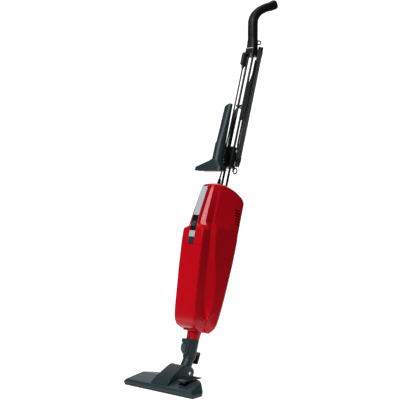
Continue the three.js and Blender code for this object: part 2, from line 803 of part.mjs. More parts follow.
function handleCollar() {
  const outline = rounded(
    [
      [COLLAR_LEFT, COLLAR_FRONT],
      [COLLAR_RIGHT, COLLAR_FRONT],
      [COLLAR_RIGHT, 6.4],
      [11.4, COLLAR_BACK],
      [COLLAR_LEFT, COLLAR_BACK],
    ],
    3,
  );
  const body = standing(outline, COLLAR_FOOT, COLLAR_HEAD);
  const arm = sideways(
    [
      [-2, UPPER_FOLD - 8.5],
      [HANK_D, UPPER_FOLD - 8.5],
      [HANK_D + 6, UPPER_FOLD - 6],
      [HANK_D + 8.5, UPPER_FOLD],
      [HANK_D + 6, UPPER_FOLD + 6],
      [HANK_D, UPPER_FOLD + 8.5],
      [17, UPPER_FOLD + 8.5],
      [13, UPPER_FOLD + 1],
      [-2, UPPER_FOLD + 1],
    ],
    9,
    HOOK_PLATE_IN - GAP,
  );
  const pivot = bar(4, [10, HANK_D, UPPER_FOLD], [24, HANK_D, UPPER_FOLD], 16);
  const stem = block(9, HOOK_PLATE_IN - GAP, HANK_D - 4, HANK_D + 4, UPPER_FOLD, UPPER_FOLD + 36);
  const eye = eyelet(16, UPPER_FOLD + 41, 7.6, 7.6, 3.4);
  const parking = join(
    bar(PIN_R + GAP, [-30, plugPinY(-1), PLUG_PIN_Z], [3, plugPinY(-1), PLUG_PIN_Z], 12),
    bar(PIN_R + GAP, [-30, plugPinY(1), PLUG_PIN_Z], [3, plugPinY(1), PLUG_PIN_Z], 12),
  );
  return cut(join(body, wound(join(arm, pivot, stem, eye))), rodHoles(ROD_HOLE_R, 900, 1100), parking);
}

const gripTab = () =>
  cut(
    standing(rounded(rectangle(-14, -16.6, 14, -9), 2), COLLAR_HEAD + GAP, COLLAR_HEAD + GAP + 2),
    rodHoles(ROD_HOLE_R, 900, 1100),
  );

const GRIP_FOOT = COLLAR_HEAD + 2 * GAP + 2;

function grip() {
  const handle = limb([
    { y: -0.6, z: GRIP_FOOT - 5, side: 16.4, deep: 14.6, square: 3.6 },
    { y: -4, z: 1006, side: 15.2, deep: 14.2, square: 3.2 },
    { y: -9, z: 1025, side: 14.4, deep: 14.4, square: 2.5 },
    { y: -16.6, z: 1048.5, side: 14.4, deep: 15, square: 2.4 },
    { y: -23.6, z: 1074, side: 14.2, deep: 15, square: 2.4 },
    { y: -22.6, z: 1088, side: 13.6, deep: 14, square: 2.4 },
    { y: -9.6, z: 1112, side: 13.2, deep: 12.8, square: 2.4 },
    { y: 20, z: 1141, side: 13.6, deep: 13.2, square: 2.5 },
    { y: 44, z: 1158, side: 14, deep: 14, square: 2.7 },
    { y: 60, z: 1172, side: 14.2, deep: 14.6, square: 2.8 },
  ]);
  const below = block(-FAR, FAR, -FAR, FAR, 900, GRIP_FOOT);
  return cut(handle, below, rodHoles(ROD_HOLE_R, 980, ROD_HEAD + GAP));
}

const hookOutline = (sign, fold) => {
  const arc = Array.from({ length: 9 }, (_, i) => {
    const angle = (i / 8) * Math.PI;
    return [HANK_D + 14 * Math.cos(angle), fold + sign * 14 * Math.sin(angle)];
  });
  return [...arc, [HANK_D - 7, fold - sign * 7], [HANK_D + 7, fold - sign * 7]];
};

const drum = (sign, fold, from, to, radius) => {
  const arc = Array.from({ length: 13 }, (_, i) => {
    const angle = (i / 12) * Math.PI;
    return [HANK_D + radius * Math.cos(angle), fold + sign * radius * Math.sin(angle)];
  });
  return sideways(arc, from, to);
};

// A flat loop that faces along the depth of the winding.
function eyelet(across, z, halfWide, halfTall, rim) {
  const oval = (w, t) => squircle(20, w, t, 2).map(([u, v]) => [across + u, z + v]);
  return cut(
    lengthwise(oval(halfWide, halfTall), HANK_D - 2, HANK_D + 2),
    lengthwise(oval(halfWide - rim, halfTall - rim), HANK_D - 9, HANK_D + 9),
  );
}

function upperCordHook() {
  const plate = sideways(hookOutline(1, UPPER_FOLD), HOOK_PLATE_IN, HOOK_PLATE_OUT);
  const saddle = drum(1, UPPER_FOLD, HOOK_PLATE_OUT - 1, 33.4, DRUM_R);
  const lip = drum(1, UPPER_FOLD, 33, 34, DRUM_R + 1.6);
  const hub = bar(7, [HOOK_PLATE_IN, HANK_D, UPPER_FOLD], [33.4, HANK_D, UPPER_FOLD], 20);
  const bore = bar(4 + RUN_GAP, [0, HANK_D, UPPER_FOLD], [24.4, HANK_D, UPPER_FOLD], 16);
  return wound(cut(join(plate, saddle, lip, hub), bore));
}

const HEAD_FOOT = TOP_Z + 25.5;
const HEAD_TALL = 14.1;
const HEAD_SLOPE = 25.4;
const NECK_TALL = 50;
const HEAD_SHOULDER = HEAD_FOOT + HEAD_TALL;
const NECK_FOOT = HEAD_SHOULDER + HEAD_SLOPE;
const NECK_TOP = NECK_FOOT + NECK_TALL;
const CLIP_TALL = 64;
const CLIP_FOOT = NECK_FOOT - 7;
const CLIP_HEAD = CLIP_FOOT + CLIP_TALL;
const CLIP_BACK = 8.5;
const STACK_Y = -55;
const STACK_NECK_R = 16.5;

function lowerCordHook() {
  const plate = sideways(hookOutline(-1, LOWER_FOLD), HOOK_PLATE_IN, HOOK_PLATE_OUT);
  const arm = block(HOOK_PLATE_IN, HOOK_PLATE_OUT, -6, HANK_D, LOWER_FOLD - 7, LOWER_FOLD + 11);
  const saddle = drum(-1, LOWER_FOLD, HOOK_PLATE_OUT - 1, 33.4, DRUM_R);
  const lip = drum(-1, LOWER_FOLD, 33, 34, DRUM_R + 1.6);
  const neck = block(HOOK_PLATE_IN, HOOK_PLATE_OUT, HANK_D - 4, HANK_D + 4, CLIP_FOOT - 3, LOWER_FOLD - 8);
  const bridge = block(HOOK_PLATE_IN, 20, HANK_D - 2, HANK_D + 2, CLIP_FOOT + 8, HANK_FOOT - 2 * GAP);
  const loop = eyelet(23, CLIP_FOOT + 0.5, 7, 10.4, 3.6);
  const body = wound(join(plate, arm, saddle, lip, neck, bridge, loop));
  return cut(body, block(-FAR, FAR, -FAR, CLIP_BACK + GAP, 500, 800));
}

function accessoryClip() {
  const outline = rounded(
    [
      [-13.2, -11.5],
      [16.2, -11.5],
      [16.2, 3],
      [11, CLIP_BACK],
      [-9, CLIP_BACK],
      [-13.2, 4],
    ],
    1.6,
  );
  const body = cut(standing(outline, CLIP_FOOT, CLIP_HEAD), rodHoles(ROD_HOLE_R, 500, 800));
  const web = block(-4, 4, STACK_Y + 17, -10, CLIP_FOOT + 10, CLIP_HEAD - 8);
  const ring = collar(STACK_NECK_R + GAP, STACK_NECK_R + 2.6, CLIP_FOOT + 12, CLIP_FOOT + 44, 0, STACK_Y, 32);
  const mouth = block(-FAR, FAR, STACK_Y - 30, STACK_Y + 3, 500, 800);
  const cleared = cut(web, bar(STACK_NECK_R + GAP, [0, STACK_Y, 500], [0, STACK_Y, 800], 32));
  return join(body, cleared, cut(ring, mouth));
}

// ---- accessories --------------------------------------------------------------------------------
const HEAD_LEFT = -65;
const HEAD_RIGHT = 31;
const HEAD_FRONT = -75;
const HEAD_BACK = -36;
const MOUTH_RISE = 0.27;

const mouthAt = (y) => HEAD_FOOT + (y - HEAD_FRONT) * MOUTH_RISE;

const stackRing = (halfX, halfY, power, z, x = 0, y = STACK_Y) =>
  squircle(20, halfX, halfY, power).map(([u, v]) => [x + u, y + v, z]);

function upholsteryNozzle() {
  const middleX = (HEAD_LEFT + HEAD_RIGHT) / 2;
  const middleY = (HEAD_FRONT + HEAD_BACK) / 2;
  const halfX = (HEAD_RIGHT - HEAD_LEFT) / 2;
  const halfY = (HEAD_BACK - HEAD_FRONT) / 2;
  const outer = lofted([
    stackRing(halfX, halfY, 9, HEAD_FOOT, middleX, middleY),
    stackRing(halfX, halfY, 9, HEAD_SHOULDER - 1, middleX, middleY),
    stackRing(halfX - 1, halfY - 1, 8, HEAD_SHOULDER, middleX, middleY),
    stackRing(22, 18.5, 3, NECK_FOOT - 8, -3.5),
    stackRing(STACK_NECK_R, STACK_NECK_R, 2, NECK_FOOT),
    stackRing(STACK_NECK_R, STACK_NECK_R, 2, NECK_TOP),
  ]);
  const inner = lofted([
    stackRing(halfX - 9, halfY - 11, 7, HEAD_FOOT - 2, middleX, middleY),
    stackRing(halfX - 9, halfY - 11, 7, HEAD_FOOT + 6, middleX, middleY),
    stackRing(18, 13, 3, NECK_FOOT - 12, -3.5),
    stackRing(STACK_NECK_R - 2.2, STACK_NECK_R - 2.2, 2, NECK_FOOT),
    stackRing(STACK_NECK_R - 2.2, STACK_NECK_R - 2.2, 2, NECK_TOP + 2),
  ]);
  const mouth = sideways(
    [
      [HEAD_FRONT - 5, HEAD_FOOT - 5],
      [HEAD_BACK + 5, HEAD_FOOT - 5],
      [HEAD_BACK + 5, mouthAt(HEAD_BACK + 5)],
      [HEAD_FRONT - 5, mouthAt(HEAD_FRONT - 5)],
    ],
    -FAR,
    FAR,
  );
  const seats = join(lintStrip(-1, GAP), lintStrip(1, GAP));
  return cut(outer, inner, mouth, seats);
}

function lintStrip(side, grow = 0) {
  const middleY = (HEAD_FRONT + HEAD_BACK) / 2 + side * 14;
  return block(
    HEAD_LEFT + 12 - grow,
    HEAD_RIGHT - 12 + grow,
    middleY - 2.6 - grow,
    middleY + 2.6 + grow,
    mouthAt(middleY) - 1,
    mouthAt(middleY) + 1.6 + grow,
  );
}

const PLUG_DEPTH = 24;
const CREVICE_TALL = 125.5;
const CREVICE_TOP = NECK_TOP + CREVICE_TALL;

function creviceNozzle() {
  const plugR = STACK_NECK_R - 2.2 - GAP;
  const outer = lofted([
    stackRing(plugR - 0.4, plugR - 0.4, 2, NECK_TOP - PLUG_DEPTH),
    stackRing(plugR, plugR, 2, NECK_TOP + GAP),
    stackRing(14.4, 14.4, 2, NECK_TOP + GAP + 0.01),
    stackRing(14.2, 13.6, 2, NECK_TOP + 14),
    stackRing(13.6, 10.6, 2.2, NECK_TOP + 58),
    stackRing(12.8, 8.2, 2.4, NECK_TOP + 102),
    stackRing(12.4, 7.2, 2.5, CREVICE_TOP),
  ]);
  const inner = lofted([
    stackRing(plugR - 2.6, plugR - 2.6, 2, NECK_TOP - PLUG_DEPTH - 1),
    stackRing(11.6, 11, 2, NECK_TOP + 14),
    stackRing(11.2, 8.2, 2.2, NECK_TOP + 58),
    stackRing(10.6, 5.8, 2.4, NECK_TOP + 102),
    stackRing(10.2, 4.8, 2.5, CREVICE_TOP + 2),
  ]);
  const slant = lengthwise(
    [
      [-30, CREVICE_TOP - 11],
      [-11, CREVICE_TOP - 11],
      [6, CREVICE_TOP - 1],
      [30, CREVICE_TOP - 1],
      [30, CREVICE_TOP + 25],
      [-30, CREVICE_TOP + 25],
    ],
    STACK_Y - 30,
    STACK_Y + 30,
  );
  return cut(outer, inner, slant);
}

// ---- cord ---------------------------------------------------------------------------------------
const LEAD_X = -16.2;
const LEAD_Y = -1;
const ARCH_Z = 787;
const FAR_RUN_D = HANK_D + 20;
const TAIL_X = -18;
const TAIL_Y = -6.2;
const TAIL_TURN_Z = 650;
const PLUG_HALF = 7;
const PLUG_X = COLLAR_LEFT - PLUG_HALF - GAP;
const PLUG_Y = -2;
const BOOT_X = PLUG_X + 1.2;
const BOOT_Y = PLUG_Y - 2;
const PLUG_HEAD = PLUG_PIN_Z + 4;
const PLUG_TALL = 41;
const PLUG_FOOT = PLUG_HEAD - PLUG_TALL;
const BOOT_TALL = 9;
const CORD_END = PLUG_FOOT - 5;

// Points of a half-turn that rises (+1) or dips (-1) between two upright lines.
function halfTurn(from, to, z, sign, count = 7) {
  const radius = Math.hypot(to[0] - from[0], to[1] - from[1]) / 2;
  return Array.from({ length: count }, (_, i) => {
    const angle = (i / (count - 1)) * Math.PI;
    const share = (1 - Math.cos(angle)) / 2;
    const at = [0, 1].map((k) => from[k] + (to[k] - from[k]) * share);
    return [...at, z + sign * radius * Math.sin(angle)];
  });
}

function cordLead() {
  const side = unwound(HANK_H - HANK_HALF - CORD_R - GAP, FAR_RUN_D, 0);
  return strand(
    [
      [RELIEF_X, RELIEF_Y, RELIEF_HEAD - RELIEF_BORE + 2],
      [RELIEF_X, RELIEF_Y, RELIEF_HEAD + 5],
      [RELIEF_X + 0.9, RELIEF_Y + 1.6, 600],
      [LEAD_X, LEAD_Y, 625],
      [LEAD_X, LEAD_Y, 700],
      [LEAD_X, LEAD_Y, 760],
      ...halfTurn([LEAD_X, LEAD_Y], side, ARCH_Z, 1),
      [side[0], side[1], 760],
      [side[0], side[1], 722],
    ],
    CORD_R,
    28,
  );
}

function cordTail() {
  const behind = unwound(HANK_H, FAR_RUN_D + HANK_HALF + CORD_R + GAP, 0);
  const turnEnd = [-22.5, -3];
  return strand(
    [
      [behind[0], behind[1], 760],
      [behind[0], behind[1], 700],
      ...halfTurn(behind, turnEnd, TAIL_TURN_Z, -1),
      [-21, -4.3, 676],
      [TAIL_X - 0.8, TAIL_Y + 0.4, 706],
      [TAIL_X, TAIL_Y, 735],
      [TAIL_X, TAIL_Y, 820],
      [TAIL_X, TAIL_Y, 868],
      [(TAIL_X + BOOT_X) / 2, (TAIL_Y + BOOT_Y) / 2, 896],
      [BOOT_X, BOOT_Y, CORD_END - 9],
      [BOOT_X, BOOT_Y, CORD_END],
    ],
    CORD_R,
    38,
  );
}

function cordHank() {
  const ring = (radius) => {
    const points = [];
    for (let i = 0; i <= 12; i++) {
      const angle = (i / 12) * Math.PI;
      points.push([HANK_D + radius * Math.cos(angle), UPPER_FOLD + radius * Math.sin(angle)]);
    }
    for (let i = 0; i <= 12; i++) {
      const angle = Math.PI + (i / 12) * Math.PI;
      points.push([HANK_D + radius * Math.cos(angle), LOWER_FOLD + radius * Math.sin(angle)]);
    }
    return points;
  };
  const low = HANK_H - HANK_HALF;
  const high = HANK_H + HANK_HALF;
  return wound(cut(sideways(ring(FOLD_OUT_R), low, high), sideways(ring(FOLD_IN_R), low - 1, high + 1)));
}

function plug() {
  const level = (z, halfX, halfY) =>
    squircle(16, halfX, halfY, 2.6).map(([u, v]) => [PLUG_X + u, PLUG_Y + v, z]);
  const body = lofted([
    level(PLUG_FOOT, 5, 8),
    level(PLUG_FOOT + 4, 6.4, 11.8),
    level(PLUG_FOOT + 20, PLUG_HALF, 12.8),
    level(PLUG_HEAD - 6, PLUG_HALF, 12.8),
    level(PLUG_HEAD, 5, 11.4),
  ]);
  const boot = turned(
    [
      [0, PLUG_FOOT - BOOT_TALL],
      [3.8, PLUG_FOOT - BOOT_TALL],
      [4.8, PLUG_FOOT + 2],
      [0, PLUG_FOOT + 2],
    ],
    BOOT_X,
    BOOT_Y,
    16,
  );
  const cordBore = bar(CORD_R + GAP, [BOOT_X, BOOT_Y, CORD_END - 12], [BOOT_X, BOOT_Y, CORD_END + GAP], 16);
  const nib = block(PLUG_X - 8.4, PLUG_X - 4, PLUG_Y - 8, PLUG_Y - 1, PLUG_FOOT + 6, PLUG_FOOT + 9);
  const grooves = [0, 1, 2, 3].map((i) => {
    const z = PLUG_FOOT + 14 + i * 6;
    return block(PLUG_X - 12, PLUG_X + 12, PLUG_Y - 18, PLUG_Y - 11.4, z, z + 2);
  });
  const pinSeats = [-1, 1].map((side) => plugPin(side, GAP));
  return cut(join(body, boot, nib), cordBore, ...grooves, ...pinSeats);
}

function plugPin(side, grow = 0) {
  const root = [PLUG_X + 1 - grow, plugPinY(side), PLUG_PIN_Z];
  const tip = [2.4 + grow, plugPinY(side), PLUG_PIN_Z];
  return bar(PIN_R + grow, root, tip, 12);
}

// ---- bracket on the right rod ---------------------------------------------------------------------
function rodBracket() {
  const sheet = lengthwise(
    [
      [3.2, 764],
      [9.5, 761],
      [17.2, 768],
      [17.2, 956],
      [13.8, 956],
      [13.8, 908],
      [9.9, 884],
      [3.2, 884],
    ],
    -11.2,
    -2.4,
  );
  const clamp = collar(ROD_HOLE_R, 6, 803, 808.5, -ROD_SPREAD, ROD_Y, 16);
  const link = block(-ROD_SPREAD + 4.6, ROD_SPREAD - 4.6, ROD_Y - 2.5, ROD_Y + 2.5, 803, 808.5);
  const anchor = collar(ROD_HOLE_R, 6, 803, 808.5, ROD_SPREAD, ROD_Y, 16);
  return cut(join(wound(sheet), clamp, anchor, link), rodHoles(ROD_HOLE_R, 700, 1000));
}

// ---- connector and elbow --------------------------------------------------------------------------
function connectorTube() {
  const tube = collar(TUBE_BORE_R, TUBE_R, TUBE_FOOT, TUBE_HEAD, 0, 0, 32);
  const boss = cut(
    sideways(
      [
        [-16, TUBE_HEAD - 2],
        [-34, TUBE_HEAD - 2.6],
        [-36.6, 90],
        [-37, 83],
        [-35, 80],
        [-30, 79.4],
        [-30, 56],
        [-24, 50.5],
        [-16, 47.5],
      ],
      -8.6,
      8.6,
    ),
    bar(TUBE_BORE_R + 1, [0, 0, 40], [0, 0, 100], 32),
  );
  const pocket = block(-3.4, 3.4, -40, -20, 61, 71);
  return cut(join(tube, boss), pocket);
}

function lockButton() {
  const pad = sideways(
    rounded(
      [
        [-30.4 - 2, 78.6],
        [-36, 77.6],
        [-37, 66],
        [-34, 57],
        [-30.4 - 2, 55.6],
      ],
      2.4,
    ),
    -7.4,
    7.4,
  );
  return join(pad, block(-3, 3, -33, -24, 61.6, 70.4));
}

function parkHook() {
  return cut(
    sideways(
      [
        [17, 63],
        [35, 64],
        [37.2, 60],
        [33.6, 31],
        [31, 28.6],
        [28, 30],
        [30.4, 54],
        [17, 53],
      ],
      -9,
      9,
    ),
    bar(TUBE_R + GAP, [0, 0, 20], [0, 0, 100], 32),
  );
}

const KNUCKLE_OUT_R = 17.4;
const KNUCKLE_SIDE = 19;
const NECK_PIN_R = 4;

function elbow() {
  const line = (side) => [
    { y: 0, z: 61, side, deep: side, square: 2 },
    { y: 0, z: 46, side, deep: side, square: 2 },
    { y: -2.2, z: 31, side, deep: side, square: 2 },
    { y: -7.4, z: 15, side, deep: side, square: 2 },
    { y: -AXIS_SETBACK - 1, z: 0, side, deep: side, square: 2 },
  ];
  const skin = limb(line(NECK_R).reverse(), 18, 8);
  const bore = limb(
    [
      { y: -AXIS_SETBACK - 14, z: -24, side: 12, deep: 12, square: 2 },
      ...line(13).reverse(),
      { y: 0, z: 66, side: 13, deep: 13, square: 2 },
    ],
    12,
    8,
  );
  const bead = collar(NECK_R - 1, TUBE_R, 41, TUBE_FOOT - GAP, 0, 0, 24);
  const knuckle = bar(KNUCKLE_OUT_R, [-KNUCKLE_SIDE, -AXIS_SETBACK, 0], [KNUCKLE_SIDE, -AXIS_SETBACK, 0], 20);
  const seats = bar(NECK_PIN_R + GAP, [-30, -AXIS_SETBACK, 0], [-14, -AXIS_SETBACK, 0], 16);
  return cut(join(skin, bead, knuckle), bore, seats, mirrored(seats));
}

// ---- floorhead ------------------------------------------------------------------------------------
const HEAD_HALF = 128;
const FRONT_Y = -8;
const END_BACK_Y = 34;
const COVER_FOOT = 5.4;

const planOutline = (inset) => [
  [-HEAD_HALF + inset, FRONT_Y + inset],
  [HEAD_HALF - inset, FRONT_Y + inset],
  [HEAD_HALF - inset, END_BACK_Y - inset * 0.4],
  [83 - inset * 0.4, 74 - inset],
  [34, 96 - inset],
  [-34, 96 - inset],
  [-83 + inset * 0.4, 74 - inset],
  [-HEAD_HALF + inset, END_BACK_Y - inset * 0.4],
];

const sideOutline = (foot, drop) => [
  [-60, foot],
  [-60, 9 - drop],
  [FRONT_Y, 9 - drop],
  [FRONT_Y + 0.5 + drop, 12 - drop],
  [-4.5 + drop, 17 - drop],
  [-1.5 + drop, 18.2 - drop],
  [25, 24.5 - drop],
  [52, 29.5 - drop],
  [74, 28.5 - drop],
  [98, 24 - drop],
  [150, 24 - drop],
  [150, foot],
];

const endOutline = (foot, drop) => [
  [-HEAD_HALF + drop, foot],
  [HEAD_HALF - drop, foot],
  [HEAD_HALF - drop, 9],
  [118 - drop, 19],
  [106 - drop, 31 - drop],
  [-106 + drop, 31 - drop],
  [-118 + drop, 19],
  [-HEAD_HALF + drop, 9],
];

const coverForm = (inset, foot) =>
  overlap(
    standing(rounded(planOutline(inset), 4), foot, 60),
    sideways(sideOutline(foot, inset), -FAR, FAR),
    lengthwise(endOutline(foot, inset), -FAR, FAR),
  );

const EAR_IN = KNUCKLE_SIDE + RUN_GAP;
const EAR_OUT = 25.5;

const knuckleRoom = () =>
  bar(
    KNUCKLE_OUT_R + RUN_GAP,
    [-EAR_IN, NECK_PIVOT.y, NECK_PIVOT.z],
    [EAR_IN, NECK_PIVOT.y, NECK_PIVOT.z],
    28,
  );

const PEDAL_X = 67;
const PEDAL_HALF = 12.5;
const PEDAL_PIN_Y = 48;
const PEDAL_PIN_Z = 24.5;
const PEDAL_PIN_R = 2;
const AIRWAY_HALF = 17;

function floorheadCover() {
  const shell = cut(coverForm(0, COVER_FOOT), coverForm(WALL, COVER_FOOT - 1));
  const airway = block(-AIRWAY_HALF, AIRWAY_HALF, 24, 80, 12, 40);
  const window = block(PEDAL_X - PEDAL_HALF - 1, PEDAL_X + PEDAL_HALF + 1, 18, 71, 15, 40);
  const cheek = (x) => block(x, x + 4, PEDAL_PIN_Y - 5, PEDAL_PIN_Y + 5, 18, 27.6);
  const cheeks = join(cheek(PEDAL_X - PEDAL_HALF - 5), cheek(PEDAL_X + PEDAL_HALF + 1));
  const pin = bar(
    PEDAL_PIN_R + GAP,
    [PEDAL_X - 30, PEDAL_PIN_Y, PEDAL_PIN_Z],
    [PEDAL_X + 30, PEDAL_PIN_Y, PEDAL_PIN_Z],
    12,
  );
  return cut(join(cut(shell, airway, window), cheeks), pin, knuckleRoom());
}

const HUMP_BASE = 30;
const HUMP_CREST = 23;

const humpForm = (inset) =>
  overlap(
    sideways(
      [
        [-1 + inset * 3, 10],
        [-1 + inset * 3, 19.4 - inset],
        [22, 36.5 - inset],
        [42, 47 - inset],
        [66, 58.5 - inset],
        [76 - inset, 61 - inset],
        [86 - inset, 59.5 - inset],
        [86 - inset, 10],
      ],
      -FAR,
      FAR,
    ),
    lengthwise(
      [
        [-HUMP_BASE - 3 + inset, 8],
        [HUMP_BASE + 3 - inset, 8],
        [HUMP_BASE - inset, 24],
        [HUMP_CREST - inset, 62 - inset],
        [-HUMP_CREST + inset, 62 - inset],
        [-HUMP_BASE + inset, 24],
      ],
      -FAR,
      FAR,
    ),
  );

function ductHump() {
  const coverAbove = shifted(coverForm(0, -20), 0, 0, GAP);
  const shell = cut(humpForm(0), humpForm(WALL));
  const ear = sideways(
    [
      [66, 20],
      [66, 44],
      [86, 57],
      [108, 51],
      [118, 42],
      [119, 32],
      [112, 22],
      [98, 20],
    ],
    EAR_IN,
    EAR_OUT,
  );
  const pin = bar(NECK_PIN_R + GAP, [-40, NECK_PIVOT.y, NECK_PIVOT.z], [40, NECK_PIVOT.y, NECK_PIVOT.z], 16);
  const mouth = block(-EAR_IN, EAR_IN, 78, 140, 10, 80);
  return cut(join(cut(shell, mouth), ear, mirrored(ear)), coverAbove, pin, knuckleRoom());
}

function neckPin(side) {
  const { y, z } = NECK_PIVOT;
  return bar(NECK_PIN_R, [side * 14.6, y, z], [side * EAR_OUT, y, z], 16);
}

const SOLE_TOP = COVER_FOOT - GAP;
const SLOT_HALF = 102;
const ROLLER_R = 9;
const ROLLER_X = 50;
const ROLLER_Y = 64;
const ROLLER_HALF = 5.5;
const AXLE_R = 1.6;

function soleplate() {
  const plate = standing(rounded(planOutline(1.2), 4), 0, SOLE_TOP);
  const rearRelief = standing(rounded(rectangle(-FAR, 40, FAR, 200), 1), -1, 1.5);
  const mouth = block(-SLOT_HALF, SLOT_HALF, 9, 21, -1, 9);
  const frontSlot = block(-SLOT_HALF, SLOT_HALF, 3.4, 6.6, -1, 9);
  const rearSlot = block(-SLOT_HALF, SLOT_HALF, 23.4, 26.6, -1, 9);
  const well = (side) =>
    block(side * ROLLER_X - 7, side * ROLLER_X + 7, ROLLER_Y - 11, ROLLER_Y + 11, -1, 12);
  const rib = (x) => block(x, x + 3, ROLLER_Y - 5, ROLLER_Y + 5, SOLE_TOP - 3.4, 13.4);
  const ribs = [-1, 1].flatMap((side) => [rib(side * ROLLER_X - 10), rib(side * ROLLER_X + 7)]);
  const axles = bar(AXLE_R + GAP, [-80, ROLLER_Y, ROLLER_R], [80, ROLLER_Y, ROLLER_R], 12);
  return cut(join(cut(plate, rearRelief, well(-1), well(1)), ...ribs), mouth, frontSlot, rearSlot, axles);
}

function roller(side) {
  const wheel = bar(
    ROLLER_R,
    [side * ROLLER_X - ROLLER_HALF, ROLLER_Y, ROLLER_R],
    [side * ROLLER_X + ROLLER_HALF, ROLLER_Y, ROLLER_R],
    28,
  );
  return cut(wheel, axleBar(side, AXLE_R + GAP, 20));
}

const axleBar = (side, radius, half) =>
  bar(radius, [side * ROLLER_X - half, ROLLER_Y, ROLLER_R], [side * ROLLER_X + half, ROLLER_Y, ROLLER_R], 12);

const rollerAxle = (side) => axleBar(side, AXLE_R, 9.6);

const BRISTLE_DROP = 3.5;
const BRISTLE_FOOT = BRISTLE_DROP + 0.4;

function bristleFrame() {
  const low = SOLE_TOP + GAP + 4;
  const high = SOLE_TOP + 8;
  const bars = [5, 25].map((y) => block(-SLOT_HALF, SLOT_HALF, y - 2.4, y + 2.4, low, high));
  const ends = [-1, 1].map((side) => {
    const x = side * (SLOT_HALF - 3);
    return block(x - 3, x + 3, 2.6, 27.4, low, high);
  });
  const rows = [5, 25].map((y) =>
    block(-SLOT_HALF + 1, SLOT_HALF - 1, y - 1.2, y + 1.2, BRISTLE_FOOT, SOLE_TOP + GAP + 4.5),
  );
  return join(bars[0], bars[1], ...ends, ...rows);
}

function pedal() {
  const rocker = sideways(
    rounded(
      [
        [14, 30.5],
        [16, 28.6],
        [30, 31.6],
        [PEDAL_PIN_Y, 31],
        [66, 32],
        [80, 31.2],
        [86, 31.2],
        [86, 33.6],
        [78, 36.6],
        [64, 37.2],
        [PEDAL_PIN_Y, 34.6],
        [28, 37],
        [17, 35.2],
        [14, 33.4],
      ],
      2.4,
    ),
    PEDAL_X - PEDAL_HALF,
    PEDAL_X + PEDAL_HALF,
  );
  const hub = block(PEDAL_X - 10, PEDAL_X + 10, PEDAL_PIN_Y - 4, PEDAL_PIN_Y + 4, PEDAL_PIN_Z - 4, 32.5);
  const pin = bar(
    PEDAL_PIN_R + GAP,
    [PEDAL_X - 30, PEDAL_PIN_Y, PEDAL_PIN_Z],
    [PEDAL_X + 30, PEDAL_PIN_Y, PEDAL_PIN_Z],
    12,
  );
  return cut(join(rocker, hub), pin);
}

const pedalPin = () =>
  bar(PEDAL_PIN_R, [PEDAL_X - 17, PEDAL_PIN_Y, PEDAL_PIN_Z], [PEDAL_X + 17, PEDAL_PIN_Y, PEDAL_PIN_Z], 12);

const lidHingePin = () => bar(HINGE_PIN_R, [-18, HINGE_Y, HINGE_Z], [18, HINGE_Y, HINGE_Z], 12);

// ---- assembly -------------------------------------------------------------------------------------
const machine = new THREE.Group();
machine.name = "machine";
machine.rotation.x = -LEAN;
machine.position.set(
  0,
  NECK_PIVOT.y + AXIS_SETBACK * Math.cos(LEAN),
  NECK_PIVOT.z - AXIS_SETBACK * Math.sin(LEAN),
);
machine.add(
  piece("upper_housing", upperHousing(), RED),
  piece("lower_housing", lowerHousing(), RED),
  piece("dust_lid", dustLid(), RED),
  piece("lid_hinge_pin", lidHingePin(), STEEL),
  piece("lid_seal", lidSeal(), SOFT_BLACK),
  piece("inlet_spigot", inletSpigot(), RED),
  piece("upper_strip", upperStrip(), SILVER),
  piece("lower_strip", lowerStrip(), SILVER),
  piece("switch_bezel", switchBezel(), BLACK),
  piece("switch_slider", switchSlider(), SLATE),
  piece("release_button", releaseButton(), SLATE),
  piece("motor_mount", motorMount(), SOFT_BLACK),
  piece("motor_casing", motorCasing(), BLACK),
  piece("motor_body", motorBody(), STEEL),
  piece("motor_fan", motorFan(), STEEL),
  piece("motor_filter", motorFilter(), PAPER),
  piece("exhaust_filter", exhaustFilter(), PAPER),
  piece("dust_bag", dustBag(), PAPER),
  piece("bag_collar", bagCollar(), PALE),
  piece("rod_socket", rodSocket(), BLACK),
  piece("strain_relief", strainRelief(), SOFT_BLACK),
  piece("rod_left", handleRod(-1), DARK_STEEL),
  piece("rod_right", handleRod(1), DARK_STEEL),
  piece("rod_bracket", rodBracket(), BLACK),
  piece("handle_collar", handleCollar(), BLACK),
  piece("grip_tab", gripTab(), PALE),
  piece("grip", grip(), BLACK),
  piece("upper_cord_hook", upperCordHook(), BLACK),
  piece("lower_cord_hook", lowerCordHook(), BLACK),
  piece("accessory_clip", accessoryClip(), BLACK),
  piece("upholstery_nozzle", upholsteryNozzle(), SLATE),
  piece("lint_strip_front", lintStrip(-1), FELT),
  piece("lint_strip_rear", lintStrip(1), FELT),
  piece("crevice_nozzle", creviceNozzle(), SLATE),
  piece("cord_lead", cordLead(), SOFT_BLACK),
  piece("cord_hank", cordHank(), SOFT_BLACK),
  piece("cord_tail", cordTail(), SOFT_BLACK),
  piece("plug", plug(), SOFT_BLACK),
  piece("plug_pin_front", plugPin(-1), STEEL),
  piece("plug_pin_rear", plugPin(1), STEEL),
  piece("connector_tube", connectorTube(), SLATE),
  piece("lock_button", lockButton(), SLATE),
  piece("park_hook", parkHook(), BLACK),
  piece("elbow", elbow(), SLATE),
);

const floorhead = new THREE.Group();
floorhead.name = "floorhead";
floorhead.add(
  piece("floorhead_cover", floorheadCover(), SLATE),
  piece("duct_hump", ductHump(), SLATE),
  piece("neck_pin_left", neckPin(-1), STEEL),
  piece("neck_pin_right", neckPin(1), STEEL),
  piece("soleplate", soleplate(), BLACK),
  piece("bristle_frame", bristleFrame(), BRISTLE),
  piece("roller_left", roller(-1), SOFT_BLACK),
  piece("roller_right", roller(1), SOFT_BLACK),
  piece("roller_axle_left", rollerAxle(-1), STEEL),
  piece("roller_axle_right", rollerAxle(1), STEEL),
  piece("pedal", pedal(), BLACK),
  piece("pedal_pin", pedalPin(), STEEL),
);

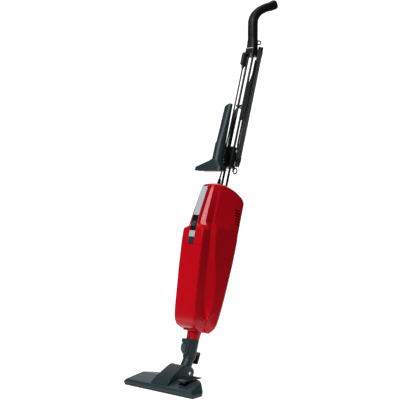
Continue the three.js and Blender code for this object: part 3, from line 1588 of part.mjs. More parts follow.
const vacuum = new THREE.Group();
vacuum.name = "stick_vacuum_cleaner";
vacuum.add(machine, floorhead);

export default vacuum;
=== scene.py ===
"""Upright stick vacuum cleaner: its visible surfaces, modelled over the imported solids.

The frame gives the bodies and the plain solids. This script lays the power cord at its real
length, moulds the fine shells and fittings, and gives every piece its finish.
"""

import json
import logging
import math
from dataclasses import dataclass, field
from enum import Enum
from typing import Iterable, Sequence

import bmesh
import bpy
from mathutils import Matrix, Vector

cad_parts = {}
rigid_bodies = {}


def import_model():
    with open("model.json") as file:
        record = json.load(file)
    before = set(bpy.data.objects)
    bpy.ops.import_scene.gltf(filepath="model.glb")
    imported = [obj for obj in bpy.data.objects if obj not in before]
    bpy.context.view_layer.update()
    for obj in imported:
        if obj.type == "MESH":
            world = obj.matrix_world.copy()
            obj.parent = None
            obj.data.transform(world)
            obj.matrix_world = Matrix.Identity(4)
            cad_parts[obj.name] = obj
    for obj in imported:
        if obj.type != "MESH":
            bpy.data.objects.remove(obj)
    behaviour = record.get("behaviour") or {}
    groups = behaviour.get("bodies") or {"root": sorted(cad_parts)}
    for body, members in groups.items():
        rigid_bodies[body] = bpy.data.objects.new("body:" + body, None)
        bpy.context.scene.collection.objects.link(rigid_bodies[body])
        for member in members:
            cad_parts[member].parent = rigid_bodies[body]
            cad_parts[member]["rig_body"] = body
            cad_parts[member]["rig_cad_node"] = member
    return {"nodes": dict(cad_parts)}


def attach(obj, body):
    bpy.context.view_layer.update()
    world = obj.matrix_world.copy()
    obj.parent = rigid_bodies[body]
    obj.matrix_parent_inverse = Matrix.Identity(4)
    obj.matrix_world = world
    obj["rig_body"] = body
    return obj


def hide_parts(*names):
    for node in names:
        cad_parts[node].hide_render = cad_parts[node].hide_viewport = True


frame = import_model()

LOG = logging.getLogger("vacuum")
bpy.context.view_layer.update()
Point = tuple[float, ...]
Ring = list[Point]

# ---- shared sizes, in millimetres ---------------------------------------------------------------
GAP = 0.3
WALL = 2.6
LEAN = math.radians(18.3)
NECK_PIVOT = (0.0, 100.0, 35.0)
AXIS_SETBACK = 13.5
ROD_SPREAD = 8.8
ROD_Y = -1.5
ROD_R = 3.5
CORD_D = 5.0
WINDING_TURN = math.radians(40)
HANK_H = 25.05
HANK_D = 22.0
LOWER_FOLD = 650.5
UPPER_FOLD = 985.5
FAR = 200.0


class Place(Enum):
    """The frames that pieces are modelled in."""

    FLOOR = "floor"
    MACHINE = "machine"

    def matrix(self) -> Matrix:
        """Returns the matrix from this frame, in millimetres, to the row frame, in metres."""
        scale = Matrix.Scale(0.001, 4)
        if self is Place.FLOOR:
            return scale
        _, y, z = NECK_PIVOT
        origin = Vector((0.0, y + AXIS_SETBACK * math.cos(LEAN), z - AXIS_SETBACK * math.sin(LEAN)))
        return scale @ Matrix.Translation(origin) @ Matrix.Rotation(-LEAN, 4, "X")

    def point(self, x: float, y: float, z: float) -> Vector:
        """Returns a point of this frame in the row frame, in metres."""
        return self.matrix() @ Vector((x, y, z))


# ---- curves and outlines ------------------------------------------------------------------------
class Profile:
    """A smooth curve through (place, value) knots that never overshoots them."""

    def __init__(self, *knots: tuple[float, float]) -> None:
        """Keeps the knots and finds a slope at each.

        Args:
            knots: the places and values, in rising order of place.
        """
        self.knots = knots
        rises = [(b[1] - a[1]) / (b[0] - a[0]) for a, b in zip(knots, knots[1:])] or [0.0]
        middle = [0.0 if a * b <= 0 else 2 * a * b / (a + b) for a, b in zip(rises, rises[1:])]
        self.slopes = [rises[0], *middle, rises[-1]]

    def __call__(self, place: float) -> float:
        """Reads the curve.

        Args:
            place: where it is read.

        Returns:
            The value there.
        """
        knots = self.knots
        if place <= knots[0][0]:
            return knots[0][1]
        if place >= knots[-1][0]:
            return knots[-1][1]
        i = max(k for k, knot in enumerate(knots) if knot[0] <= place)
        span = knots[i + 1][0] - knots[i][0]
        t = (place - knots[i][0]) / span
        start = (1 + 2 * t) * (1 - t) ** 2 * knots[i][1] + t * (1 - t) ** 2 * span * self.slopes[i]
        end = t * t * (3 - 2 * t) * knots[i + 1][1] - t * t * (1 - t) * span * self.slopes[i + 1]
        return start + end


def filleted(before: Point, corner: Point, after: Point, length: float, samples: int = 5) -> Ring:
    """Rounds one corner of an outline.

    Args:
        before: the corner before it.
        corner: the corner to round.
        after: the corner after it.
        length: how far along its edges the rounding reaches.
        samples: how many points it gets.

    Returns:
        The points of the rounded corner.
    """
    start, middle, end = Vector(before[:2]), Vector(corner[:2]), Vector(after[:2])
    first = middle + (start - middle) * min(length / (start - middle).length, 0.45)
    last = middle + (end - middle) * min(length / (end - middle).length, 0.45)
    points = []
    for i in range(samples):
        t = i / (samples - 1)
        points.append(tuple((1 - t) ** 2 * first + 2 * t * (1 - t) * middle + t * t * last))
    return points


def rounded(outline: Sequence[Point], length: float, samples: int = 5) -> Ring:
    """Returns an outline with all its corners rounded.

    Args:
        outline: the corner points.
        length: how far each rounding reaches along its edges, at most.
        samples: how many points each corner gets.

    Returns:
        The rounded outline.
    """
    count = len(outline)
    return [
        point
        for i in range(count)
        for point in filleted(outline[i - 1], outline[i], outline[(i + 1) % count], length, samples)
    ]


def rectangle(x0: float, y0: float, x1: float, y1: float) -> Ring:
    """Returns the four corners of a rectangle, anticlockwise."""
    return [(x0, y0), (x1, y0), (x1, y1), (x0, y1)]


def squircle(sides: int, half_x: float, half_y: float, power: float) -> Ring:
    """Returns an oval outline that grows squarer as its power grows.

    Args:
        sides: how many points it has.
        half_x: half its width.
        half_y: half its depth.
        power: 2 for an oval, more for a squarer form.

    Returns:
        The outline.
    """
    points = []
    for i in range(sides):
        angle = (i + 0.5) / sides * 2 * math.pi
        c, s = math.cos(angle), math.sin(angle)
        x = half_x * math.copysign(abs(c) ** (2 / power), c)
        y = half_y * math.copysign(abs(s) ** (2 / power), s)
        points.append((x, y))
    return points


def smooth_line(knots: Sequence[Point], spacing: float) -> list[Vector]:
    """Draws a centripetal spline through knots.

    Args:
        knots: the points it passes through.
        spacing: about how far apart the drawn points lie.

    Returns:
        The points of the line, ends included.
    """
    points = [Vector(knot) for knot in knots]
    padded = [2 * points[0] - points[1], *points, 2 * points[-1] - points[-2]]
    line = []
    for i in range(1, len(padded) - 2):
        a, b, c, d = padded[i - 1 : i + 3]
        t0 = 0.0
        t1 = t0 + math.sqrt((b - a).length)
        t2 = t1 + math.sqrt((c - b).length)
        t3 = t2 + math.sqrt((d - c).length)
        steps = max(1, round((c - b).length / spacing))
        for k in range(steps):
            t = t1 + (t2 - t1) * k / steps
            ab = a * ((t1 - t) / (t1 - t0)) + b * ((t - t0) / (t1 - t0))
            bc = b * ((t2 - t) / (t2 - t1)) + c * ((t - t1) / (t2 - t1))
            cd = c * ((t3 - t) / (t3 - t2)) + d * ((t - t2) / (t3 - t2))
            abc = ab * ((t2 - t) / (t2 - t0)) + bc * ((t - t0) / (t2 - t0))
            bcd = bc * ((t3 - t) / (t3 - t1)) + cd * ((t - t1) / (t3 - t1))
            line.append(abc * ((t2 - t) / (t2 - t1)) + bcd * ((t - t1) / (t2 - t1)))
    line.append(points[-1])
    return line


# ---- modelling ----------------------------------------------------------------------------------
class Bench:
    """Modelling steps on one piece at a time, with everything else deselected."""

    @staticmethod
    def deselect() -> None:
        """Leaves edit mode and deselects everything."""
        if bpy.context.object and bpy.context.object.mode != "OBJECT":
            bpy.ops.object.mode_set(mode="OBJECT")
        bpy.ops.object.select_all(action="DESELECT")

    @staticmethod
    def pick(piece: bpy.types.Object) -> None:
        """Makes a piece the only one selected, and active.

        Args:
            piece: the piece.
        """
        Bench.deselect()
        piece.select_set(True)
        bpy.context.view_layer.objects.active = piece

    @staticmethod
    def edit(piece: bpy.types.Object) -> None:
        """Opens a piece in edit mode with all of it selected.

        Args:
            piece: the piece.
        """
        Bench.pick(piece)
        bpy.ops.object.mode_set(mode="EDIT")
        bpy.ops.mesh.select_all(action="SELECT")

    @staticmethod
    def close(piece: bpy.types.Object, merge: float = 0.0) -> None:
        """Merges doubles, turns the faces outwards and leaves edit mode.

        Args:
            piece: the piece in edit mode.
            merge: the distance within which points are merged, or 0.
        """
        bpy.ops.mesh.select_all(action="SELECT")
        if merge:
            bpy.ops.mesh.remove_doubles(threshold=merge)
        bpy.ops.mesh.normals_make_consistent(inside=False)
        bpy.ops.object.mode_set(mode="OBJECT")

    @staticmethod
    def loft(name: str, rings: Sequence[Ring]) -> bpy.types.Object:
        """Extrudes a disc through a row of rings of as many points each.

        Args:
            name: the piece's name.
            rings: rings of (x, y, z) points, from one end to the other.

        Returns:
            The closed piece.
        """
        Bench.deselect()
        bpy.ops.mesh.primitive_circle_add(vertices=len(rings[0]), radius=1, fill_type="NGON")
        piece = bpy.context.object
        piece.name = name
        mesh = piece.data
        station = mesh.attributes.new("station", "INT", "POINT")
        for i, vertex in enumerate(mesh.vertices):
            vertex.co = rings[0][i]
            station.data[i].value = i
        Bench.edit(piece)
        for ring in rings[1:]:
            bpy.ops.mesh.extrude_region_move()
            work = bmesh.from_edit_mesh(mesh)
            layer = work.verts.layers.int["station"]
            for vertex in work.verts:
                if vertex.select:
                    vertex.co = ring[vertex[layer]]
            bmesh.update_edit_mesh(mesh)
        Bench.close(piece)
        mesh.attributes.remove(mesh.attributes["station"])
        return piece

    @staticmethod
    def standing(name: str, outline: Ring, low: float, high: float) -> bpy.types.Object:
        """Raises an outline in X and Y from one height to another."""
        return Bench.loft(name, [[(x, y, z) for x, y in outline] for z in (low, high)])

    @staticmethod
    def sideways(name: str, outline: Ring, left: float, right: float) -> bpy.types.Object:
        """Draws an outline in Y and Z out from left to right."""
        return Bench.loft(name, [[(x, y, z) for y, z in outline] for x in (left, right)])

    @staticmethod
    def block(x0: float, x1: float, y0: float, y1: float, z0: float, z1: float) -> bpy.types.Object:
        """Adds a cutting block between two corners."""
        return Bench.standing("block", rectangle(x0, y0, x1, y1), z0, z1)

    @staticmethod
    def bar(name: str, start: Point, end: Point, radius: float, sides: int = 48) -> bpy.types.Object:
        """Adds a round bar between two points.

        Args:
            name: the piece's name.
            start: one end.
            end: the other end.
            radius: its radius.
            sides: how many sides it has.

        Returns:
            The bar.
        """
        a, b = Vector(start), Vector(end)
        turn = (b - a).to_track_quat("Z", "Y")
        rings = []
        for at in (a, b):
            angles = [2 * math.pi * i / sides for i in range(sides)]
            spokes = [turn @ Vector((radius * math.cos(w), radius * math.sin(w), 0)) for w in angles]
            rings.append([tuple(at + spoke) for spoke in spokes])
        return Bench.loft(name, rings)

    @staticmethod
    def turned(name: str, profile: Ring, x: float = 0, y: float = 0, sides: int = 72) -> bpy.types.Object:
        """Spins a closed profile of (radius, height) points about an upright line.

        Args:
            name: the piece's name.
            profile: the closed profile.
            x: the line's x.
            y: the line's y.
            sides: how many steps the spin takes.

        Returns:
            The turned piece.
        """
        Bench.deselect()
        bpy.ops.mesh.primitive_circle_add(vertices=len(profile), radius=1, fill_type="NOTHING")
        piece = bpy.context.object
        piece.name = name
        for vertex, (radius, height) in zip(piece.data.vertices, profile):
            vertex.co = (x + radius, y, height)
        Bench.edit(piece)
        bpy.ops.mesh.spin(steps=sides, angle=2 * math.pi, center=(x, y, 0), axis=(0, 0, 1))
        bpy.ops.mesh.select_all(action="SELECT")
        bpy.ops.mesh.remove_doubles(threshold=0.001)
        bpy.ops.mesh.dissolve_degenerate(threshold=0.0005)
        Bench.close(piece)
        return piece

    @staticmethod
    def modify(piece: bpy.types.Object, kind: str, **settings: object) -> None:
        """Adds a modifier and applies it.

        Args:
            piece: the piece.
            kind: the modifier's type.
            settings: its settings.
        """
        Bench.pick(piece)
        modifier = piece.modifiers.new("step", kind)
        for key, value in settings.items():
            setattr(modifier, key, value)
        bpy.ops.object.modifier_apply(modifier=modifier.name)

    @staticmethod
    def combine(piece: bpy.types.Object, operation: str, *others: bpy.types.Object) -> bpy.types.Object:
        """Joins, cuts or crosses a piece with others, which are used up.

        Args:
            piece: the piece that stays.
            operation: UNION, DIFFERENCE or INTERSECT.
            others: the pieces to use.

        Returns:
            The piece.
        """
        for other in others:
            Bench.modify(piece, "BOOLEAN", operation=operation, solver="MANIFOLD", object=other)
            bpy.data.objects.remove(other)
        return piece

    @staticmethod
    def cut(piece: bpy.types.Object, *others: bpy.types.Object) -> bpy.types.Object:
        """Cuts others out of a piece and returns it."""
        return Bench.combine(piece, "DIFFERENCE", *others)

    @staticmethod
    def join(piece: bpy.types.Object, *others: bpy.types.Object) -> bpy.types.Object:
        """Joins others to a piece and returns it."""
        return Bench.combine(piece, "UNION", *others)

    @staticmethod
    def copy(piece: bpy.types.Object, name: str) -> bpy.types.Object:
        """Copies a piece with a mesh of its own.

        Args:
            piece: the piece.
            name: the copy's name.

        Returns:
            The copy.
        """
        twin = piece.copy()
        twin.data = piece.data.copy()
        twin.name = name
        twin.parent = None
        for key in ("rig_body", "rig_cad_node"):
            if key in twin:
                del twin[key]
        bpy.context.collection.objects.link(twin)
        return twin

    @staticmethod
    def bevel(piece: bpy.types.Object, width: float, degrees: float = 30, segments: int = 2) -> None:
        """Rounds the edges that turn by more than an angle.

        Args:
            piece: the piece.
            width: the width of the rounding.
            degrees: the least angle of an edge that is rounded.
            segments: how many faces the rounding gets.
        """
        Bench.modify(
            piece,
            "BEVEL",
            width=width,
            segments=segments,
            limit_method="ANGLE",
            angle_limit=math.radians(degrees),
            use_clamp_overlap=True,
        )

    @staticmethod
    def smooth(piece: bpy.types.Object, degrees: float = 35, weighted: bool = True) -> None:
        """Shades a piece smooth across the edges that turn by less than an angle.

        Args:
            piece: the piece.
            degrees: the angle from which an edge stays sharp.
            weighted: whether broad faces hold their own normals.
        """
        Bench.pick(piece)
        bpy.ops.object.shade_smooth_by_angle(angle=math.radians(degrees))
        if weighted:
            Bench.modify(piece, "WEIGHTED_NORMAL", keep_sharp=True, weight=60)

    @staticmethod
    def refined(node: str, width: float, degrees: float = 30, segments: int = 2) -> bpy.types.Object:
        """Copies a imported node, merges its mesh and rounds its edges.

        Args:
            node: the node's name.
            width: the width of the rounding, in millimetres.
            degrees: the least angle of an edge that is rounded.
            segments: how many faces the rounding gets.

        Returns:
            The refined copy, in metres.
        """
        piece = Bench.copy(frame["nodes"][node], node + "_fine")
        Bench.edit(piece)
        bpy.ops.mesh.remove_doubles(threshold=0.00001)
        bpy.ops.mesh.dissolve_limited(angle_limit=math.radians(0.5))
        Bench.close(piece)
        if width:
            Bench.bevel(piece, width * 0.001, degrees, segments)
        Bench.smooth(piece, 32)
        return piece

    @staticmethod
    def place(piece: bpy.types.Object, place: Place) -> None:
        """Puts a piece modelled in millimetres where it belongs, in its mesh."""
        piece.data.transform(place.matrix())
        piece.data.update()


# ---- shader graphs ------------------------------------------------------------------------------
class Signal:
    """A number that flows through a shader, with Python's own operators."""

    def __init__(self, graph: "Graph", socket: bpy.types.NodeSocket) -> None:
        """Keeps the graph and the output socket."""
        self.graph = graph
        self.socket = socket

    def _math(self, operation: str, first: object, second: object) -> "Signal":
        """Adds a Math node and returns its result."""
        node = self.graph.node("ShaderNodeMath", {"operation": operation}, {0: first, 1: second})
        return Signal(self.graph, node.outputs[0])

    def __add__(self, other: object) -> "Signal":
        """Adds."""
        return self._math("ADD", self, other)

    def __radd__(self, other: object) -> "Signal":
        """Adds, reflected."""
        return self._math("ADD", other, self)

    def __sub__(self, other: object) -> "Signal":
        """Subtracts."""
        return self._math("SUBTRACT", self, other)

    def __rsub__(self, other: object) -> "Signal":
        """Subtracts, reflected."""
        return self._math("SUBTRACT", other, self)

    def __mul__(self, other: object) -> "Signal":
        """Multiplies."""
        return self._math("MULTIPLY", self, other)

    def __rmul__(self, other: object) -> "Signal":
        """Multiplies, reflected."""
        return self._math("MULTIPLY", other, self)

    def size(self) -> "Signal":
        """Returns the signal without its sign."""
        return self._math("ABSOLUTE", self, 0)

    def limited(self) -> "Signal":
        """Returns the signal held between 0 and 1."""
        node = self.graph.node("ShaderNodeClamp", {}, {"Value": self})
        return Signal(self.graph, node.outputs[0])


class Graph:
    """A material's nodes round one Principled shader."""

    def __init__(self, name: str) -> None:
        """Starts an empty material.

        Args:
            name: the material's name.
        """
        self.material = bpy.data.materials.new(f"{name}_finish")
        self.material.use_nodes = True
        self.tree = self.material.node_tree
        self.tree.nodes.clear()
        self.shader = self.node("ShaderNodeBsdfPrincipled", {}, {})
        self.node("ShaderNodeOutputMaterial", {}, {"Surface": self.shader.outputs[0]})
        self.place = self.node("ShaderNodeTexCoord", {}, {}).outputs["Object"]

    def axes(self) -> list[Signal]:
        """Returns the place on the piece as three signals, in metres."""
        split = self.node("ShaderNodeSeparateXYZ", {}, {"Vector": self.place})
        return [Signal(self, socket) for socket in split.outputs]

    def node(self, kind: str, settings: dict, inputs: dict) -> bpy.types.Node:
        """Adds a node.

        Args:
            kind: the node's type.
            settings: its properties, set first; "stops" fills a colour ramp.
            inputs: values, signals or sockets by input name or number.

        Returns:
            The node.
        """
        node = self.tree.nodes.new(kind)
        for key, value in settings.items():
            if key == "stops":
                self._fill(node.color_ramp, value)
            else:
                setattr(node, key, value)
        for key, value in inputs.items():
            source = value.socket if isinstance(value, Signal) else value
            if isinstance(source, bpy.types.NodeSocket):
                self.tree.links.new(source, node.inputs[key])
            else:
                node.inputs[key].default_value = source
        return node

    @staticmethod
    def _fill(ramp: bpy.types.ColorRamp, stops: Sequence[tuple[float, Point]]) -> None:
        """Fills a colour ramp.

        Args:
            ramp: the ramp.
            stops: places and colours, in rising order.
        """
        while len(ramp.elements) < len(stops):
            ramp.elements.new(0.5)
        for element, (place, colour) in zip(ramp.elements, stops):
            element.position = place
            element.color = (*colour, 1) if len(colour) == 3 else colour

    def noise(self, scale: float, detail: float = 3, stretch: Point = (1, 1, 1)) -> Signal:
        """Returns a noise pattern in the piece's own space.

        Args:
            scale: how many grains fit in a metre.
            detail: how many finer layers it has.
            stretch: the scale along each axis.

        Returns:
            The pattern, about 0 to 1.
        """
        placed = self.node("ShaderNodeMapping", {}, {"Vector": self.place, "Scale": stretch})
        node = self.node(
            "ShaderNodeTexNoise", {}, {"Vector": placed.outputs[0], "Scale": scale, "Detail": detail}
        )
        return Signal(self, node.outputs["Fac"])

    def cells(self, scale: float) -> Signal:
        """Returns the distance to the nearest cell centre of a cell pattern."""
        node = self.node("ShaderNodeTexVoronoi", {}, {"Vector": self.place, "Scale": scale})
        return Signal(self, node.outputs["Distance"])

    def edges(self) -> Signal:
        """Returns how sharply the surface bends outwards, 0.5 on a flat."""
        node = self.node("ShaderNodeNewGeometry", {}, {})
        return Signal(self, node.outputs["Pointiness"])

    def blend(self, share: object, first: object, second: object) -> bpy.types.NodeSocket:
        """Mixes two colours.

        Args:
            share: how much of the second there is, 0 to 1.
            first: the colour at 0.
            second: the colour at 1.

        Returns:
            The mixed colour.
        """
        node = self.node(
            "ShaderNodeMix", {"data_type": "RGBA"}, {0: share, 6: first, 7: second}
        )
        return node.outputs[2]

    def bump(self, height: Signal, depth: float, strength: float) -> bpy.types.NodeSocket:
        """Returns a normal roughened by a height pattern.

        Args:
            height: the pattern.
            depth: its depth, in metres.
            strength: how strong it looks, 0 to 1.

        Returns:
            The normal.
        """
        node = self.node(
            "ShaderNodeBump", {}, {"Height": height, "Distance": depth, "Strength": strength}
        )
        return node.outputs[0]

    def set(self, **values: object) -> None:
        """Sets or links the Principled shader's inputs.

        Args:
            values: values, signals or sockets by input name, with underscores for spaces.
        """
        for key, value in values.items():
            socket = self.shader.inputs[key.replace("_", " ")]
            source = value.socket if isinstance(value, Signal) else value
            if isinstance(source, bpy.types.NodeSocket):
                self.tree.links.new(source, socket)
            else:
                socket.default_value = source


def rgba(colour: Point, factor: float = 1.0) -> Point:
    """Returns a colour scaled by a factor, with full alpha."""
    return (*[min(1.0, c * factor) for c in colour], 1.0)


# ---- finishes -----------------------------------------------------------------------------------
@dataclass(frozen=True)
class MouldedPlastic:
    """A moulded plastic with a fine spark grain and slightly rubbed edges."""

    name: str
    colour: Point
    roughness: float
    grain: float = 1400.0
    depth: float = 0.00006
    rub: float = 0.25

    def material(self) -> bpy.types.Material:
        """Returns the finish as a material."""
        graph = Graph(self.name)
        tone = graph.noise(22, 4)
        rubbed = ((graph.edges() - 0.52) * 9).limited() * self.rub
        base = graph.blend(tone, rgba(self.colour, 0.84), rgba(self.colour, 1.16))
        worn = graph.blend(rubbed, base, rgba(self.colour, 1.9))
        smear = graph.noise(9, 5) * 0.12 - 0.06
        grain = graph.cells(self.grain) + graph.noise(self.grain * 0.6, 2) * 0.5
        graph.set(
            Base_Color=worn,
            Roughness=(smear + self.roughness - rubbed * 0.3).limited(),
            Specular_IOR_Level=0.28,
            Normal=graph.bump(grain, self.depth, 0.35),
        )
        return graph.material


@dataclass(frozen=True)
class GlossShell:
    """A polished, through-coloured shell with faint waviness and fine scuffs."""

    name: str
    colour: Point
    roughness: float

    def material(self) -> bpy.types.Material:
        """Returns the finish as a material."""
        graph = Graph(self.name)
        tone = graph.noise(7, 3)
        scuffs = (graph.noise(900, 2, (0.12, 1, 1)) - 0.62) * 2.5
        haze = graph.noise(30, 4)
        graph.set(
            Base_Color=graph.blend(tone, rgba(self.colour, 0.93), rgba(self.colour, 1.07)),
            Roughness=(haze * 0.06 + scuffs.limited() * 0.08 + self.roughness).limited(),
            Coat_Weight=0.05,
            Coat_Roughness=0.06,
            Specular_IOR_Level=0.2,
            Normal=graph.bump(graph.noise(140, 2), 0.00005, 0.12),
        )
        return graph.material


@dataclass(frozen=True)
class SatinLacquer:
    """A silver lacquer with a fine metal flake."""

    name: str
    colour: Point
    roughness: float
    metallic: float

    def material(self) -> bpy.types.Material:
        """Returns the finish as a material."""
        graph = Graph(self.name)
        flake = graph.cells(2600)
        cloud = graph.noise(40, 3)
        graph.set(
            Base_Color=graph.blend(flake, rgba(self.colour, 1.08), rgba(self.colour, 0.86)),
            Metallic=self.metallic,
            Roughness=(cloud * 0.1 + self.roughness).limited(),
            Coat_Weight=0.3,
            Coat_Roughness=0.12,
            Normal=graph.bump(flake, 0.00002, 0.2),
        )
        return graph.material


@dataclass(frozen=True)
class DrawnMetal:
    """A metal with fine marks drawn along one axis of the machine."""

    name: str
    colour: Point
    roughness: float
    metallic: float = 1.0

    def material(self) -> bpy.types.Material:
        """Returns the finish as a material."""
        graph = Graph(self.name)
        marks = graph.noise(420, 3, (1, 1, 0.05))
        stain = graph.noise(18, 4)
        graph.set(
            Base_Color=graph.blend(stain, rgba(self.colour, 0.8), rgba(self.colour, 1.1)),
            Metallic=self.metallic,
            Roughness=(marks * 0.16 + self.roughness).limited(),
            Normal=graph.bump(marks, 0.00002, 0.25),
        )
        return graph.material


@dataclass(frozen=True)
class SoftRubber:
    """A dull rubber or cord jacket with a dry bloom."""

    name: str
    colour: Point
    roughness: float

    def material(self) -> bpy.types.Material:
        """Returns the finish as a material."""
        graph = Graph(self.name)
        bloom = graph.noise(60, 5)
        pores = graph.noise(2200, 2)
        graph.set(
            Base_Color=graph.blend(bloom, rgba(self.colour, 0.75), rgba(self.colour, 1.5)),
            Roughness=(bloom * 0.2 + self.roughness).limited(),
            Normal=graph.bump(pores, 0.00004, 0.3),
        )
        return graph.material


@dataclass(frozen=True)
class FibreSheet:
    """Paper, felt or hair: tangled fibres with a soft nap."""

    name: str
    colour: Point
    fibres: float
    depth: float
    stretch: Point = (1, 1, 1)

    def material(self) -> bpy.types.Material:
        """Returns the finish as a material."""
        graph = Graph(self.name)
        strands = graph.noise(self.fibres, 6, self.stretch)
        patch = graph.noise(30, 3)
        graph.set(
            Base_Color=graph.blend(strands, rgba(self.colour, 0.7), rgba(self.colour, 1.25)),
            Roughness=(patch * 0.1 + 0.85).limited(),
            Sheen_Weight=0.3,
            Normal=graph.bump(strands, self.depth, 0.5),
        )
        return graph.material


class Finish(Enum):
    """The finishes of the machine, each made into a material once."""

    RED_GLOSS = GlossShell("red_gloss", (0.52, 0.002, 0.009), 0.2)
    RED_NECK = GlossShell("red_neck", (0.44, 0.003, 0.01), 0.3)
    SILVER = SatinLacquer("silver_trim", (0.60, 0.70, 0.74), 0.3, 0.35)
    SLATE = MouldedPlastic("slate_plastic", (0.014, 0.030, 0.036), 0.42)
    SLATE_BUTTON = MouldedPlastic("slate_button", (0.035, 0.062, 0.070), 0.36)
    BLACK = MouldedPlastic("black_plastic", (0.008, 0.010, 0.011), 0.4)
    BLACK_GLOSS = MouldedPlastic("black_window", (0.006, 0.008, 0.009), 0.2, 1400, 0.00001, 0.1)
    GRIP = MouldedPlastic("grip_plastic", (0.007, 0.008, 0.009), 0.48, 900, 0.00012, 0.3)
    RUBBER = SoftRubber("soft_black", (0.010, 0.011, 0.012), 0.62)
    JACKET = SoftRubber("cord_jacket", (0.008, 0.009, 0.010), 0.45)
    STEEL = DrawnMetal("steel", (0.60, 0.61, 0.62), 0.22)
    BLACK_STEEL = DrawnMetal("black_steel", (0.010, 0.011, 0.012), 0.28, 0.5)
    PALE = MouldedPlastic("pale_plastic", (0.70, 0.72, 0.71), 0.3, 1400, 0.00003, 0.05)
    PAPER = FibreSheet("filter_paper", (0.74, 0.69, 0.58), 700, 0.0002)
    FELT = FibreSheet("lint_felt", (0.42, 0.015, 0.04), 1500, 0.0004)
    HAIR = FibreSheet("bristle", (0.02, 0.021, 0.023), 1800, 0.0003, (1, 1, 0.08))

    def made(self) -> bpy.types.Material:
        """Returns the finish's material, made at its first use."""
        return bpy.data.materials.get(f"{self.value.name}_finish") or self.value.material()


def dress(piece: bpy.types.Object, finish: Finish) -> None:
    """Gives a piece one finish all over."""
    piece.data.materials.clear()
    piece.data.materials.append(finish.made())


def seat(
    piece: bpy.types.Object,
    body: str,
    finish: Finish,
    replaces: Iterable[str] = (),
) -> bpy.types.Object:
    """Dresses a finished piece and lets it ride on its body.

    Args:
        piece: the piece, in place.
        body: the body that it moves with.
        finish: its finish.
        replaces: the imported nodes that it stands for.

    Returns:
        The piece.
    """
    dress(piece, finish)
    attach(piece, body)
    if replaces:
        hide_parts(*replaces)
    LOG.info("%s: %d faces on %s", piece.name, len(piece.data.polygons), body)
    return piece


# ---- studio -------------------------------------------------------------------------------------
@dataclass
class Studio:
    """A pale floor that rises into a round backdrop, soft lights and the camera."""

    eye: Point = (1.5988, -1.7307, 0.5969)
    azimuth: float = 40.0
    pitch: float = 1.84
    lens: float = 78.3

    def build(self) -> None:
        """Sets up the camera, the floor and the lights."""
        self._camera()
        self._backdrop()
        self._lights()

    def _camera(self) -> None:
        """Adds the camera."""
        data = bpy.data.cameras.new("camera")
        data.lens = self.lens
        data.sensor_width = 36
        data.clip_end = 60
        camera = bpy.data.objects.new("camera", data)
        camera.location = self.eye
        camera.rotation_euler = (math.radians(90 - self.pitch), 0, math.radians(self.azimuth))
        bpy.context.scene.collection.objects.link(camera)
        bpy.context.scene.camera = camera

    def _backdrop(self) -> None:
        """Adds the floor, which rises behind the object into a pale wall and glows in a painted pool of
        light.
        """
        arc = [(1.7 + math.sin(w), 1 - math.cos(w)) for w in [i * math.pi / 24 for i in range(1, 13)]]
        profile = [(0.2, 0.0), (1.7, 0.0), *arc, (2.7, 3.4)]
        Bench.deselect()
        bpy.ops.mesh.primitive_plane_add(size=1)
        floor = bpy.context.object
        floor.name = "studio_floor"
        Bench.edit(floor)
        bpy.ops.transform.resize(value=(2.9, 0.75, 1))
        bpy.ops.transform.translate(value=(0, -0.175, 0))
        floor.data.update()
        bpy.ops.mesh.select_all(action="DESELECT")
        bpy.ops.object.mode_set(mode="OBJECT")
        for edge in floor.data.edges:
            edge.select = all(floor.data.vertices[v].co.y > 0 for v in edge.vertices)
        bpy.ops.object.mode_set(mode="EDIT")
        for (y0, z0), (y1, z1) in zip(profile, profile[1:]):
            bpy.ops.mesh.extrude_region_move(TRANSFORM_OT_translate={"value": (0, y1 - y0, z1 - z0)})
        bpy.ops.mesh.select_all(action="SELECT")
        bpy.ops.transform.rotate(
            value=-math.radians(self.azimuth), orient_axis="Z", center_override=(0, 0, 0)
        )
        bpy.ops.object.mode_set(mode="OBJECT")
        Bench.smooth(floor, 60, weighted=False)
        graph = Graph("studio_floor")
        x, y, _ = graph.axes()
        turn = math.radians(self.azimuth)
        deep = y * math.cos(turn) - x * math.sin(turn)
        wide = (x * math.cos(turn) + y * math.sin(turn)).size() - deep * 0.24
        # Painted light: the floor's colour and glow are brightest in a pool round the object and fade to dark
        # towards the camera and the sides.
        near = ((deep + 0.3) * 5.5).limited()
        painted_light_pool = near * ((0.95 - wide) * 3).limited()
        graph.set(
            Base_Color=graph.blend(painted_light_pool, (0.3, 0.3, 0.3, 1), (0.55, 0.55, 0.55, 1)),
            Roughness=0.9,
            Emission_Color=graph.blend(painted_light_pool, (0.08, 0.08, 0.08, 1), (1, 1, 1, 1)),
            Emission_Strength=0.9,
        )
        floor.data.materials.append(graph.material)

    def _lights(self) -> None:
        """Adds a high key from the front left, weak fills, and a low world light."""
        target = Vector((0, 0.25, 0.5))
        for name, place, size, power in [
            ("key", (0.35, -2.6, 2.9), (1.7, 1.7), 135),
            ("right_strip", (3.4, -0.6, 1.6), (0.3, 2.0), 1),
            ("overhead", (-0.6, 0.2, 4.0), (1.2, 1.2), 12),
            ("rear_fill", (-2.6, 2.9, 2.6), (1.4, 1.4), 8),
        ]:
            data = bpy.data.lights.new(name, "AREA")
            data.shape = "RECTANGLE"
            data.size, data.size_y = size
            data.energy = power
            lamp = bpy.data.objects.new(name, data)
            lamp.location = place
            lamp.rotation_euler = (target - Vector(place)).to_track_quat("-Z", "Y").to_euler()
            bpy.context.scene.collection.objects.link(lamp)
        world = bpy.data.worlds.new("studio_air")
        world.use_nodes = True
        world.node_tree.nodes["Background"].inputs["Color"].default_value = (1, 1, 1, 1)
        world.node_tree.nodes["Background"].inputs["Strength"].default_value = 0.06
        bpy.context.scene.world = world
        bpy.context.scene.view_settings.view_transform = "Standard"


